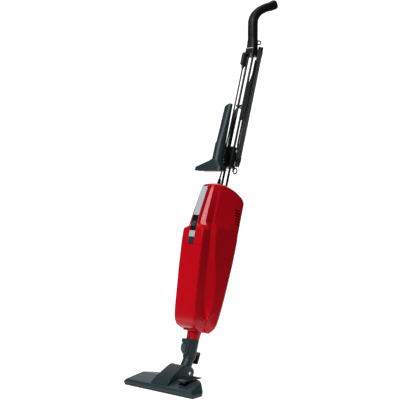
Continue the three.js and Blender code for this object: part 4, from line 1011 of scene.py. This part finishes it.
# ---- power cord ---------------------------------------------------------------------------------
@dataclass
class PowerCord:
    """The mains cord: out of its relief, wound nine times on the hooks, and up to the plug."""

    relief: Point = (-19.4, -4.0)
    lead: Point = (-16.2, -1.0)
    lead_across: float = 14.75
    far_run: float = 42.0
    behind: float = 52.3
    arch: float = 787.0
    columns: int = 3
    layers: int = 3
    pitch: float = 5.1
    inner_fold: float = 15.0
    tail: Point = (-18.0, -6.2)
    tail_turn: float = 650.0
    boot: Point = (-20.1, -4.0)
    boot_z: float = 932.8
    length: float = field(default=0.0, init=False)

    def build(self) -> None:
        points = [Place.MACHINE.point(*p) for p in self.route()]
        self.length = sum((b - a).length for a, b in zip(points, points[1:]))
        data = bpy.data.curves.new("power_cord", "CURVE")
        data.dimensions = "3D"
        data.bevel_depth = CORD_D / 2000
        data.bevel_resolution = 3
        data.use_fill_caps = True
        spline = data.splines.new("POLY")
        spline.points.add(len(points) - 1)
        for knot, at in zip(spline.points, points):
            knot.co = (*at, 1)
        cord = bpy.data.objects.new("power_cord", data)
        bpy.context.scene.collection.objects.link(cord)
        dress(cord, Finish.JACKET)
        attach(cord, "main_body")
        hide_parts("cord_lead", "cord_hank", "cord_tail")
        LOG.info("power_cord: %.3f m in %d points", self.length, len(points))

    @staticmethod
    def on_cord() -> list[str]:
        """Returns the names of the pieces that the cord carries."""
        return ["plug_fine", "plug_pin_front_fine", "plug_pin_rear_fine", "strain_relief_fine"]

    @staticmethod
    def unwound(across: float, deep: float) -> Point:
        """Returns winding coordinates as the machine's X and Y."""
        c, s = math.cos(WINDING_TURN), math.sin(WINDING_TURN)
        return (across * c - deep * s, across * s + deep * c)

    @staticmethod
    def half_turn(start: Point, end: Point, z: float, sign: int, count: int = 13) -> list[Point]:
        """Returns a half turn between two upright lines.

        Args:
            start: the first line's place.
            end: the second line's place.
            z: the height of both ends.
            sign: 1 where it rises, -1 where it dips.
            count: how many points it has.

        Returns:
            The turn's points.
        """
        radius = math.hypot(end[0] - start[0], end[1] - start[1]) / 2
        points = []
        for i in range(count):
            angle = i / (count - 1) * math.pi
            share = (1 - math.cos(angle)) / 2
            x = start[0] + (end[0] - start[0]) * share
            y = start[1] + (end[1] - start[1]) * share
            points.append((x, y, z + sign * radius * math.sin(angle)))
        return points

    def route(self) -> list[Point]:
        """Returns the cord's centreline in the machine's frame, in millimetres."""
        turns = self._turns()
        first = turns[0]
        entry = self.unwound(self.lead_across, self.far_run)
        lead = smooth_line(
            [
                (*self.relief, 562),
                (*self.relief, 578),
                (self.relief[0] + 0.9, self.relief[1] + 1.6, 600),
                (*self.lead, 625),
                (*self.lead, 700),
                (*self.lead, 760),
                *self.half_turn(self.lead, entry, self.arch, 1),
                (*entry, 760),
                (*entry, 722),
                (*entry, 700),
                (first[0] * 0.85 + entry[0] * 0.15, first[1] * 0.85 + entry[1] * 0.15, 668),
                first,
            ],
            7,
        )
        last = turns[-1]
        behind = self.unwound(HANK_H, self.behind)
        tail = smooth_line(
            [
                last,
                (last[0], last[1], 960),
                (last[0] * 0.75 + behind[0] * 0.25, last[1] * 0.75 + behind[1] * 0.25, 905),
                (behind[0], behind[1], 820),
                (behind[0], behind[1], 760),
                (behind[0], behind[1], 700),
                *self.half_turn(behind, (-22.5, -3), self.tail_turn, -1),
                (-21, -4.3, 676),
                (self.tail[0] - 0.8, self.tail[1] + 0.4, 706),
                (*self.tail, 735),
                (*self.tail, 820),
                (*self.tail, 868),
                ((self.tail[0] + self.boot[0]) / 2, (self.tail[1] + self.boot[1]) / 2, 896),
                (*self.boot, 924),
                (*self.boot, self.boot_z),
            ],
            7,
        )
        return [tuple(p) for p in lead[:-1]] + turns + [tuple(p) for p in tail[1:]]

    def _turns(self) -> list[Point]:
        """Returns the wound turns, each one down the far run, round, up and over."""
        seats = []
        for layer in range(self.layers):
            order = range(self.columns) if layer % 2 == 0 else reversed(range(self.columns))
            seats += [(layer, column) for column in order]
        across = [HANK_H + (column - 1) * self.pitch for _, column in seats]
        radii = [self.inner_fold + layer * self.pitch for layer, _ in seats]
        points = []
        for i, (h, r) in enumerate(zip(across, radii)):
            last = i + 1 == len(seats)
            next_h = h if last else across[i + 1]
            next_r = r if last else radii[i + 1]
            for k in range(13):
                angle = math.pi + k / 12 * math.pi
                points.append((h, HANK_D - r * math.cos(angle), LOWER_FOLD + r * math.sin(angle)))
            for k in range(1, 12):
                t = k / 12
                ease = t * t * (3 - 2 * t)
                bow = 0.5 * math.sin(math.pi * t) * math.sin(2.3 * i + 1)
                z = LOWER_FOLD + (UPPER_FOLD - LOWER_FOLD) * t
                points.append((h + (next_h - h) * ease + bow * 0.4, HANK_D - r - (next_r - r) * ease, z))
            for k in range(13):
                angle = math.pi - k / 12 * math.pi
                points.append(
                    (next_h, HANK_D + next_r * math.cos(angle), UPPER_FOLD + next_r * math.sin(angle))
                )
            if last:
                break
            for k in range(1, 12):
                t = k / 12
                bow = 0.5 * math.sin(math.pi * t) * math.cos(1.7 * i)
                z = UPPER_FOLD + (LOWER_FOLD - UPPER_FOLD) * t
                points.append((next_h + bow * 0.4, HANK_D + next_r + abs(bow) * 0.4, z))
        return [(*self.unwound(h, d), z) for h, d, z in points]


# ---- housing ------------------------------------------------------------------------------------
@dataclass(frozen=True)
class Flank:
    """The corners of one half of the housing's section, as profiles over the height."""

    panel: Profile
    band: Profile
    band_depth: Profile
    step_in: tuple[Profile, Profile]
    step_out: tuple[Profile, Profile]
    valley_half: Profile
    valley_y: Profile
    ledge_half: Profile
    ledge_y: Profile
    cheek: Profile

    def corners(self, z: float, front: float, side: Point) -> list[Point]:
        """Returns the corners from the panel back to the side.

        Args:
            z: the height.
            front: the depth of the front panel's edge.
            side: the side's corner.

        Returns:
            Panel, band, step in, step out, valley, ledge, three cheek points and side.
        """
        band = (self.band(z), front + self.band_depth(z))
        valley = (self.valley_half(z), self.valley_y(z))
        ledge = (self.ledge_half(z), self.ledge_y(z))
        wall = (valley[0] - band[0], valley[1] - band[1])
        steps = [
            (band[0] + wall[0] * across(z), band[1] + wall[1] * deep(z))
            for across, deep in (self.step_in, self.step_out)
        ]
        reach = (side[0] - ledge[0], side[1] - ledge[1])
        bulge = self.cheek(z)
        cheeks = [
            (ledge[0] + reach[0] * t + bulge * lift, ledge[1] + reach[1] * t)
            for t, lift in ((0.25, 0.34), (0.5, 0.67), (0.76, 1.0))
        ]
        return [(self.panel(z), front), band, *steps, valley, ledge, *cheeks, side]


LOWER_FLANK = Flank(
    panel=Profile((118, 24), (128, 33), (150, 35), (396, 36)),
    band=Profile((118, 27), (128, 36), (150, 38.5), (396, 39)),
    band_depth=Profile((118, 3), (396, 5)),
    step_in=(Profile((118, 0.3)), Profile((118, 0.3))),
    step_out=(Profile((118, 0.6)), Profile((118, 0.6))),
    valley_half=Profile((118, 34), (152, 47), (180, 42), (206, 40), (396, 40)),
    valley_y=Profile(
        (118, -6), (152, -17), (180, -25.8), (206, -34), (250, -45), (342, -57), (396, -67), (440, -67.5)
    ),
    ledge_half=Profile((118, 38), (152, 53), (180, 57), (250, 57), (342, 53), (396, 50), (440, 49)),
    ledge_y=Profile(
        (118, -2), (152, -18.6), (180, -14), (206, -13.5), (250, -17), (342, -45), (396, -52), (440, -52.5)
    ),
    cheek=Profile((118, 0), (380, 0), (440, 0)),
)
UPPER_FLANK = Flank(
    panel=Profile((396, 11.6), (540, 11.2)),
    band=Profile((396, 13.4), (540, 13)),
    band_depth=Profile((396, 4), (540, 5)),
    step_in=(Profile((396, 0.07)), Profile((425, 0.07), (540, 0.14))),
    step_out=(Profile((425, 0.86), (540, 0.52)), Profile((425, 0.3), (540, 0.34))),
    valley_half=Profile((396, 32.5), (540, 31)),
    valley_y=Profile((396, -62), (455, -59), (540, -58)),
    ledge_half=Profile((396, 37), (455, 36), (540, 35.5)),
    ledge_y=Profile((396, -56), (455, -53), (540, -52)),
    cheek=Profile((396, 4.4), (436, 4.4), (480, 2.0), (540, 0.6)),
)
SHELF = (
    (396, 406), (397, 410), (399, 414), (402, 420), (405, 424),
    (407, 428), (414, 430.5), (423, 433), (433, 435.5), (396, 410),
)


def eased(share: float, ends: float = 0.14) -> float:
    """Returns a share held between 0 and 1, with rounded ends.

    Args:
        share: the share before it is held.
        ends: how far each rounding reaches.

    Returns:
        The share, from 0 to 1.
    """
    if share <= -ends:
        return 0.0
    if share < ends:
        return (share + ends) ** 2 / (4 * ends)
    if share < 1 - ends:
        return share
    return 1 - (max(0.0, 1 + ends - share)) ** 2 / (4 * ends)


@dataclass
class Housing:
    """The red motor and dust housing: an upper shell, a lower shell and the dust lid."""

    seam: float = 0.4
    seam_front: float = 352.0
    strip_half: float = 10.0
    strip_seat: float = 1.1
    front: Profile = Profile(
        (118, -17), (122, -33), (128, -46), (148, -59), (233, -76),
        (310, -89), (396, -98.5), (436, -97), (482, -91), (530, -84),
    )
    side_half: Profile = Profile(
        (118, 44), (120, 47), (127, 52), (138, 58), (152, 60), (398, 60.5), (412, 58.7), (540, 58)
    )
    side_y: Profile = Profile((118, 4), (152, 14), (206, 22), (300, 27), (540, 27))
    back_y: Profile = Profile(
        (118, 22), (127, 28), (138, 31), (168, 37), (212, 41), (281, 46), (341, 49), (540, 48)
    )
    crown: float = 1.2
    back_corner: float = 20.0
    rim_z: float = 533.0
    top_z: float = 551.0
    top_crest: float = -16.0
    top_edge: float = 8.0
    top_reach: float = 60.0
    deck_foot: float = 357.0
    deck_top: float = 359.6
    vent_count: int = 6
    vent_foot: float = 440.0
    vent_pitch: float = 8.2
    vent_front: float = 15.0
    vent_rake: float = 2.5
    vent_long: float = 23.0
    vent_tall: float = 3.6
    hinge_y: float = -26.0
    hinge_z: float = 118.8
    knuckle_radius: float = 2.8
    knuckle_room: float = 3.2
    pin_room: float = 1.5

    def build(self) -> None:
        """Moulds the shells and seats them on their bodies."""
        outer = Bench.loft("shell", self.form(0, self.heights(), 6))
        inner = [121, 125, 132, 145, 180, 230, 310, 352, 384, 396, 404, 412, 420, 428, 436, 444, 455, 505]
        shell = Bench.cut(outer, Bench.loft("hollow", self.form(WALL, inner, 3)))
        below = Bench.copy(shell, "below")
        upper = self._upper(shell)
        Bench.cut(below, self._region("over_seam", -self.seam / 2))
        lid = Bench.copy(below, "dust_lid_fine")
        Bench.combine(lid, "INTERSECT", self._lid_region(0))
        lower = Bench.cut(below, self._lid_region(self.seam))
        lower.name = "lower_housing_fine"
        self._lid(lid)
        self._lower(lower)
        for piece, body, node in (
            (upper, "main_body", "upper_housing"),
            (lower, "main_body", "lower_housing"),
            (lid, "lid", "dust_lid"),
        ):
            Bench.smooth(piece, 40)
            Bench.place(piece, Place.MACHINE)
            seat(piece, body, Finish.RED_GLOSS, [node])

    @staticmethod
    def heights() -> list[float]:
        """Returns the heights of the shell's sections, closest where it bends most."""
        foot = [118, 118.5, 119.2, 120.2, 121.4, 123, 125, 127, 129, 132, 135, 139, 143, 148, 154, 160, 167]
        body = [174 + 6 * i for i in range(37)]
        shoulder = [394 + 1.4 * i for i in range(34)]
        head = [446 + 6 * i for i in range(11)]
        return [*foot, *body, *shoulder, *head]

    def top_of(self, x: float, y: float) -> float:
        """Returns the height of the domed top over a point."""
        return self.top_z - 0.0044 * (y - self.top_crest) ** 2 - 0.0069 * x * x

    def corners(self, z: float) -> list[Point]:
        """Returns the corners of half a section: the wide flank below the shelf, the slim one above it.

        Args:
            z: the height.

        Returns:
            The corners, from the panel back to the side.
        """
        front = self.front(z) + self.crown
        side = (self.side_half(z), self.side_y(z))
        low, high = LOWER_FLANK.corners(z, front, side), UPPER_FLANK.corners(z, front, side)
        corners = []
        for (x0, y0), (x1, y1), (foot, head) in zip(low, high, SHELF):
            share = eased((z - foot) / (head - foot))
            corners.append((x0 + (x1 - x0) * share, y0 + (y1 - y0) * share))
        return corners

    def section(self, z: float, inset: float, samples: int) -> Ring:
        """Returns the whole section at a height, drawn in by an inset.

        Args:
            z: the height.
            inset: how far it is drawn in, square to its outline.
            samples: how many points each rounded edge gets.

        Returns:
            The section's points, anticlockwise from the front.
        """
        front, back = self.front(z), self.back_y(z)
        panel, band, step_in, step_out, valley, ledge, *cheeks, side = self.corners(z)
        middle = (panel[0] / 2, front + self.crown * 0.3)
        corner = min(self.back_corner, side[0] - 20, back - side[1])
        arc = []
        for degrees in range(10, 91, 10 if samples > 3 else 20):
            angle = math.radians(degrees)
            x = side[0] - corner + corner * math.cos(angle)
            arc.append((x, back - corner + corner * math.sin(angle)))
        right = [
            (0.0, front),
            middle,
            *filleted(middle, panel, band, 3, samples),
            *filleted(panel, band, step_in, 3, samples),
            *filleted(band, step_in, step_out, 2.5, samples),
            *filleted(step_in, step_out, valley, 2.5, samples),
            *filleted(step_out, valley, ledge, 2.5, samples),
            *filleted(valley, ledge, cheeks[0], 4, samples),
            *cheeks,
            side,
            *arc,
            (0.0, back + 0.6),
        ]
        whole = right + [(-x, y) for x, y in reversed(right[1:-1])]
        if not inset:
            return whole
        drawn = []
        for i, (x, y) in enumerate(whole):
            before, after = whole[i - 1], whole[(i + 1) % len(whole)]
            run = Vector((after[0] - before[0], after[1] - before[1])).normalized()
            drawn.append((x - run.y * inset, y + run.x * inset))
        return drawn

    def form(self, inset: float, heights: Sequence[float], samples: int) -> list[Ring]:
        """Returns the rings of the housing's form, from its foot to its domed top.

        Args:
            inset: how far the form is drawn in.
            heights: the heights of its sections.
            samples: how many points each rounded edge gets.

        Returns:
            The rings.
        """
        rings = [
            [(x, y, z) for x, y in self.section(z - inset if z < 150 else z, inset, samples)] for z in heights
        ]
        last = rings[-1]
        rim = self.section(self.rim_z, inset, samples)
        for t in (0.35, 0.7, 1.0):
            ring = []
            for (x, y), (lx, ly, lz) in zip(rim, last):
                high = self.top_of(x, y) - inset - self.top_edge
                ring.append((lx + (x - lx) * t, ly + (y - ly) * t, lz + (high - lz) * t))
            rings.append(ring)
        for degrees in (15, 30, 45, 60, 75, 90):
            angle = math.radians(degrees)
            scale = 1 - self.top_edge * (1 - math.cos(angle)) / self.top_reach
            rings.append(self._dome(rim, scale, inset + self.top_edge * (1 - math.sin(angle))))
        for scale in (0.7, 0.5, 0.3, 0.12):
            rings.append(self._dome(rim, scale, inset))
        return rings

    def _dome(self, rim: Ring, scale: float, drop: float) -> Ring:
        """Returns the rim drawn towards the crest, laid on the domed top.

        Args:
            rim: the rim's points in X and Y.
            scale: how much of its size is kept.
            drop: how far it lies below the top.

        Returns:
            The drawn ring.
        """
        crest = self.top_crest
        at = [(x * scale, crest + (y - crest) * scale) for x, y in rim]
        return [(x, y, self.top_of(x, y) - drop) for x, y in at]

    def _region(self, name: str, lift: float) -> bpy.types.Object:
        """Returns everything over the seam.

        Args:
            name: the region's name.
            lift: how far it is raised.

        Returns:
            The region.
        """
        outline = [
            (-FAR, self.seam_front + lift),
            (-57, self.seam_front + lift),
            (-45, 344 + lift),
            (25, 330 + lift),
            (FAR, 330 + lift),
            (FAR, 600),
            (-FAR, 600),
        ]
        return Bench.sideways(name, outline, -FAR, FAR)

    def _lid_region(self, grow: float) -> bpy.types.Object:
        """Returns everything in front of the seam down the housing's sides.

        Args:
            grow: how far it is moved out past the seam.

        Returns:
            The region.
        """
        outline = [
            (-FAR, 100),
            (-25 + grow, 100),
            (-25 + grow, 130),
            (-23 + grow, 153 - grow),
            (22 + grow, 219 - grow),
            (25 + grow, 240),
            (25 + grow, 400),
            (-FAR, 400),
        ]
        return Bench.sideways("lid_region", outline, -FAR, FAR)

    def strip_band(
        self, name: str, low: float, high: float, front: float, back: float, half: float
    ) -> bpy.types.Object:
        """Returns a band that follows the housing's front between two heights.

        Args:
            name: the piece's name.
            low: its lower end.
            high: its upper end.
            front: how far its face lies behind the housing's front.
            back: how far its back lies behind the housing's front.
            half: half its width.

        Returns:
            The band.
        """
        steps = max(2, math.ceil((high - low) / 6))
        heights = [low + (high - low) * i / steps for i in range(steps + 1)]
        outline = [(self.front(z) + front, z) for z in heights]
        outline += [(self.front(z) + back, z) for z in reversed(heights)]
        return Bench.sideways(name, outline, -half, half)

    def _upper(self, shell: bpy.types.Object) -> bpy.types.Object:
        """Cuts the upper shell's openings and adds its floor.

        Args:
            shell: the whole shell.

        Returns:
            The upper housing.
        """
        upper = Bench.combine(shell, "INTERSECT", self._region("over_seam", self.seam / 2))
        upper.name = "upper_housing_fine"
        inner = [121, 145, 230, 310, 352, 396, 411, 455, 505]
        floor = Bench.loft("floor", self.form(1, inner, 3))
        Bench.combine(
            floor, "INTERSECT", Bench.block(-FAR, FAR, -FAR, FAR, self.deck_foot, self.deck_top)
        )
        Bench.cut(
            floor,
            Bench.bar("intake", (0, -8, 340), (0, -8, 370), 24),
            Bench.block(-13, 13, -FAR, -76, 340, 361),
        )
        Bench.join(upper, floor)
        half = self.strip_half + GAP
        Bench.cut(
            upper,
            self.strip_band("strip_seat", 372, 526 + GAP, -20, self.strip_seat + GAP, half),
            Bench.block(-half, half, -FAR, -80, 340, 372),
            Bench.bar("rod_hole", (-ROD_SPREAD, ROD_Y, 530), (-ROD_SPREAD, ROD_Y, 570), ROD_R + GAP, 32),
            Bench.bar("rod_hole", (ROD_SPREAD, ROD_Y, 530), (ROD_SPREAD, ROD_Y, 570), ROD_R + GAP, 32),
            Bench.bar("relief_hole", (-19.4, -4, 530), (-19.4, -4, 570), 5, 32),
        )
        for side in (-1, 1):
            inner, outer = sorted((side * 44, side * 70))
            for i in range(self.vent_count):
                z, front = self.vent_foot + self.vent_pitch * i, self.vent_front - self.vent_rake * i
                opening = rectangle(front, z, front + self.vent_long, z + self.vent_tall)
                Bench.cut(upper, Bench.sideways("vent", rounded(opening, 1.7, 4), inner, outer))
        return upper

    def _knuckle(self, low: float, high: float, radius: float) -> bpy.types.Object:
        """Returns one round bar on the lid hinge's axis."""
        start, end = (low, self.hinge_y, self.hinge_z), (high, self.hinge_y, self.hinge_z)
        return Bench.bar("knuckle", start, end, radius, 32)

    def _lid(self, lid: bpy.types.Object) -> None:
        """Clears the lid round the hinge and the spigot, and adds its knuckle.

        Args:
            lid: the lid.
        """
        y, z = self.hinge_y, self.hinge_z
        Bench.cut(
            lid,
            self._knuckle(8.3, 19, self.knuckle_room),
            self._knuckle(-19, -8.3, self.knuckle_room),
            Bench.block(8.3, 19, y - 2.4, y + 2.4, z, z + 6),
            Bench.block(-19, -8.3, y - 2.4, y + 2.4, z, z + 6),
            Bench.bar("spigot_room", (0, 0, 100), (0, 0, 140), 24, 64),
        )
        Bench.join(
            lid, self._knuckle(-8, 8, self.knuckle_radius), Bench.block(-8, 8, y - 2, y + 2, z, z + 5)
        )
        Bench.cut(lid, self._knuckle(-9, 9, self.pin_room))

    def _lower(self, lower: bpy.types.Object) -> None:
        """Adds the lower shell's sill and knuckles, and opens it for the spigot.

        Args:
            lower: the lower shell.
        """
        y, z = self.hinge_y, self.hinge_z
        Bench.join(lower, Bench.block(-20, 20, y + 1.4, -21, 118, 120.6))
        for low, high in ((8.3, 18), (-18, -8.3)):
            leaf = Bench.block(low, high, y - 2, y + 2, z, z + 5)
            Bench.join(lower, self._knuckle(low, high, self.knuckle_radius), leaf)
            Bench.cut(lower, self._knuckle(low - 0.2, high + 0.2, self.pin_room))
        Bench.cut(
            lower,
            self._knuckle(-8.3, 8.3, self.knuckle_room),
            Bench.block(-8.3, 8.3, y - 2.4, y + 2.4, z, z + 6),
            Bench.bar("spigot_hole", (0, 0, 100), (0, 0, 130), 21.6, 64),
        )


# ---- control strip ------------------------------------------------------------------------------
@dataclass
class ControlStrip:
    """The silver strip down the front with its switch window and the lid's button."""

    housing: Housing
    half: float = 10.0
    proud: float = 0.7
    seat_depth: float = 1.1

    def build(self) -> None:
        """Makes the strips, the window, the slider and the button."""
        for name, low, high, finish, slot in (
            ("upper_strip", 436.15, 526, Finish.SILVER, "silver_trim"),
            ("lower_strip", 372.15, 389.85, Finish.SILVER, "silver_trim"),
        ):
            piece = self._band(name + "_fine", low, high)
            Bench.bevel(piece, 0.5, 40, 3)
            self._finish(piece, "main_body", finish, slot, name)
        window = self._band("switch_bezel_fine", 390.15, 435.85)
        Bench.bevel(window, 0.5, 40, 3)
        Bench.cut(window, self.housing.strip_band("track", 394, 431, -5, 0, 6.7))
        self._finish(window, "main_body", Finish.BLACK_GLOSS, "black_plastic", "switch_bezel")
        slider = self.housing.strip_band("switch_slider_fine", 403, 418, -self.proud - 0.8, -GAP, 6.4)
        Bench.bevel(slider, 0.4, 40, 3)
        for z in (406.5, 410.5, 414.5):
            front = self.housing.front(z) - self.proud
            rib = Bench.bar("rib", (-5, front - 0.7, z), (5, front - 0.7, z), 0.9, 16)
            Bench.join(slider, rib)
        self._finish(slider, "power_slider", Finish.SLATE_BUTTON, "slate_plastic", "switch_slider")
        button = self.housing.strip_band(
            "release_button_fine", 353.6, 371.7, -self.proud - 0.4, self.seat_depth, self.half - 0.2
        )
        Bench.bevel(button, 0.7, 40, 3)
        front = self.housing.front(362.8)
        Bench.join(button, Bench.block(-6, 6, front + 0.5, front + 9, 359.8, 365.8))
        self._finish(button, "lid_button", Finish.SLATE, "slate_plastic", "release_button")

    def _band(self, name: str, low: float, high: float) -> bpy.types.Object:
        """Returns a full-width band of the strip between two heights."""
        return self.housing.strip_band(name, low, high, -self.proud, self.seat_depth, self.half)

    @staticmethod
    def _finish(piece: bpy.types.Object, body: str, finish: Finish, slot: str, node: str) -> None:
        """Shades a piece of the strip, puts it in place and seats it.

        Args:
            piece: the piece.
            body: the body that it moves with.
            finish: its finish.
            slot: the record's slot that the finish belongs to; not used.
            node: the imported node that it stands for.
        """
        Bench.smooth(piece, 35)
        Bench.place(piece, Place.MACHINE)
        seat(piece, body, finish, [node])


# ---- grip ---------------------------------------------------------------------------------------
@dataclass
class Station:
    """A section of a limb bent in the Y-Z plane."""

    y: float
    z: float
    side: float
    deep: float
    square: float


def limb_rings(stations: Sequence[Station], sides: int, spacing: float) -> list[Ring]:
    """Sweeps the stations' sections along a smooth line through them.

    Args:
        stations: the sections, from one end to the other.
        sides: how many points each ring gets.
        spacing: about how far apart the rings lie.

    Returns:
        The rings.
    """
    knots = [Vector((0, s.y, s.z)) for s in stations]
    line = smooth_line(knots, spacing)
    reached = [min(range(len(line)), key=lambda k: (line[k] - knot).length) for knot in knots]
    rings = []
    for k, at in enumerate(line):
        along = (line[min(k + 1, len(line) - 1)] - line[max(k - 1, 0)]).normalized()
        i = max(n for n, place in enumerate(reached[:-1]) if place <= k)
        share = (k - reached[i]) / (reached[i + 1] - reached[i])
        share = share * share * (3 - 2 * share)
        side, deep, square = (
            getattr(stations[i], key) * (1 - share) + getattr(stations[i + 1], key) * share
            for key in ("side", "deep", "square")
        )
        outline = squircle(sides, side, deep, square)
        rings.append([(u, at.y + v * along.z, at.z - v * along.y) for u, v in outline])
    return rings


@dataclass
class Handle:
    """The rods and the bent grip."""

    foot: float = 990.6

    def build(self) -> None:
        """Makes the handle's pieces."""
        for side, node in ((-1, "rod_left"), (1, "rod_right")):
            x = side * ROD_SPREAD
            rod = Bench.bar(node + "_fine", (x, ROD_Y, 512), (x, ROD_Y, 1008), ROD_R, 48)
            Bench.bevel(rod, 0.4, 60, 2)
            Bench.smooth(rod, 35)
            Bench.place(rod, Place.MACHINE)
            seat(rod, "main_body", Finish.BLACK_STEEL, [node])
        self._grip()

    def _grip(self) -> None:
        """Makes the bent grip with its rounded end."""
        rings = limb_rings(
            [
                Station(-0.6, self.foot - 5, 16.4, 14.6, 3.6),
                Station(-4, 1006, 15.2, 14.2, 3.2),
                Station(-9, 1025, 14.4, 14.4, 2.5),
                Station(-16.6, 1048.5, 14.4, 15, 2.4),
                Station(-23.6, 1074, 14.2, 15, 2.4),
                Station(-22.6, 1088, 13.6, 14, 2.4),
                Station(-9.6, 1112, 13.2, 12.8, 2.4),
                Station(20, 1141, 13.6, 13.2, 2.5),
                Station(44, 1158, 14, 14, 2.7),
                Station(60, 1172, 14.2, 14.6, 2.8),
            ],
            56,
            2.5,
        )
        end = rings[-1]
        middle = Vector([sum(p[k] for p in end) / len(end) for k in range(3)])
        rings.append([tuple(middle + (Vector(p) - middle) * 0.97) for p in end])
        grip = Bench.loft("grip_fine", rings)
        Bench.cut(grip, Bench.block(-FAR, FAR, -FAR, FAR, 900, self.foot))
        for side in (-1, 1):
            x = side * ROD_SPREAD
            hole = Bench.bar("rod_hole", (x, ROD_Y, 980), (x, ROD_Y, 1008.3), ROD_R + GAP, 32)
            Bench.cut(grip, hole)
        Bench.smooth(grip, 40)
        Bench.place(grip, Place.MACHINE)
        seat(grip, "main_body", Finish.GRIP, ["grip"])


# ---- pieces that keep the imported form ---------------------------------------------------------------
@dataclass(frozen=True)
class Fitting:
    """A piece that keeps its packed form, with finer edges and its own finish."""

    node: str
    body: str
    finish: Finish
    slot: str
    edge: float = 0.4
    degrees: float = 30.0

    def build(self) -> None:
        """Refines the piece and seats it."""
        piece = Bench.refined(self.node, self.edge, self.degrees)
        seat(piece, self.body, self.finish, [self.node])


FITTINGS = (
    Fitting("lid_hinge_pin", "main_body", Finish.STEEL, "steel", 0.2),
    Fitting("lid_seal", "main_body", Finish.RUBBER, "soft_black", 0),
    Fitting("inlet_spigot", "main_body", Finish.RED_NECK, "red_gloss", 0.4),
    Fitting("motor_mount", "main_body", Finish.RUBBER, "soft_black"),
    Fitting("motor_casing", "main_body", Finish.BLACK, "black_plastic"),
    Fitting("motor_body", "main_body", Finish.STEEL, "steel"),
    Fitting("motor_fan", "fan", Finish.STEEL, "steel", 0.2),
    Fitting("motor_filter", "main_body", Finish.PAPER, "filter_paper"),
    Fitting("exhaust_filter", "main_body", Finish.PAPER, "filter_paper"),
    Fitting("dust_bag", "main_body", Finish.PAPER, "filter_paper", 1.5),
    Fitting("bag_collar", "main_body", Finish.PALE, "pale_plastic"),
    Fitting("rod_socket", "main_body", Finish.BLACK, "black_plastic"),
    Fitting("strain_relief", "main_body", Finish.RUBBER, "soft_black", 0.2),
    Fitting("rod_bracket", "main_body", Finish.BLACK, "black_plastic", 0.5),
    Fitting("handle_collar", "main_body", Finish.BLACK, "black_plastic", 0.6),
    Fitting("grip_tab", "main_body", Finish.PALE, "pale_plastic", 0.3),
    Fitting("upper_cord_hook", "cord_hook", Finish.BLACK, "black_plastic", 0.4),
    Fitting("lower_cord_hook", "main_body", Finish.BLACK, "black_plastic", 0.4),
    Fitting("accessory_clip", "main_body", Finish.BLACK, "black_plastic", 0.5),
    Fitting("upholstery_nozzle", "main_body", Finish.SLATE, "slate_plastic", 0.8),
    Fitting("lint_strip_front", "main_body", Finish.FELT, "lint_felt", 0.3),
    Fitting("lint_strip_rear", "main_body", Finish.FELT, "lint_felt", 0.3),
    Fitting("crevice_nozzle", "main_body", Finish.SLATE, "slate_plastic", 0.4),
    Fitting("plug", "main_body", Finish.RUBBER, "soft_black", 0.3),
    Fitting("plug_pin_front", "main_body", Finish.STEEL, "steel", 0.3),
    Fitting("plug_pin_rear", "main_body", Finish.STEEL, "steel", 0.3),
    Fitting("connector_tube", "main_body", Finish.SLATE, "slate_plastic", 0.8),
    Fitting("lock_button", "neck_lock", Finish.SLATE_BUTTON, "slate_plastic", 0.7),
    Fitting("park_hook", "main_body", Finish.BLACK, "black_plastic", 0.7),
    Fitting("elbow", "neck_elbow", Finish.SLATE, "slate_plastic", 0.4),
    Fitting("floorhead_cover", "floor_tool", Finish.SLATE, "slate_plastic", 1.2, 10),
    Fitting("duct_hump", "floor_tool", Finish.SLATE, "slate_plastic", 1.0, 12),
    Fitting("neck_pin_left", "floor_tool", Finish.STEEL, "steel", 0.3),
    Fitting("neck_pin_right", "floor_tool", Finish.STEEL, "steel", 0.3),
    Fitting("soleplate", "floor_tool", Finish.BLACK, "black_plastic", 0.4),
    Fitting("roller_left", "left_roller", Finish.RUBBER, "soft_black", 0.8),
    Fitting("roller_right", "right_roller", Finish.RUBBER, "soft_black", 0.8),
    Fitting("roller_axle_left", "floor_tool", Finish.STEEL, "steel", 0.2),
    Fitting("roller_axle_right", "floor_tool", Finish.STEEL, "steel", 0.2),
    Fitting("pedal", "foot_pedal", Finish.BLACK, "black_plastic", 1.0, 14),
    Fitting("pedal_pin", "floor_tool", Finish.STEEL, "steel", 0.2),
    Fitting("bristle_frame", "bristles", Finish.HAIR, "bristle", 0.2),
)


def main() -> None:
    """Builds the studio, the cord and every sub-assembly, in order."""
    logging.basicConfig(level=logging.INFO, format="%(name)s: %(message)s")
    Studio().build()
    for fitting in FITTINGS:
        fitting.build()
    PowerCord().build()
    housing = Housing()
    housing.build()
    ControlStrip(housing).build()
    Handle().build()


if __name__ == "__main__":
    main()
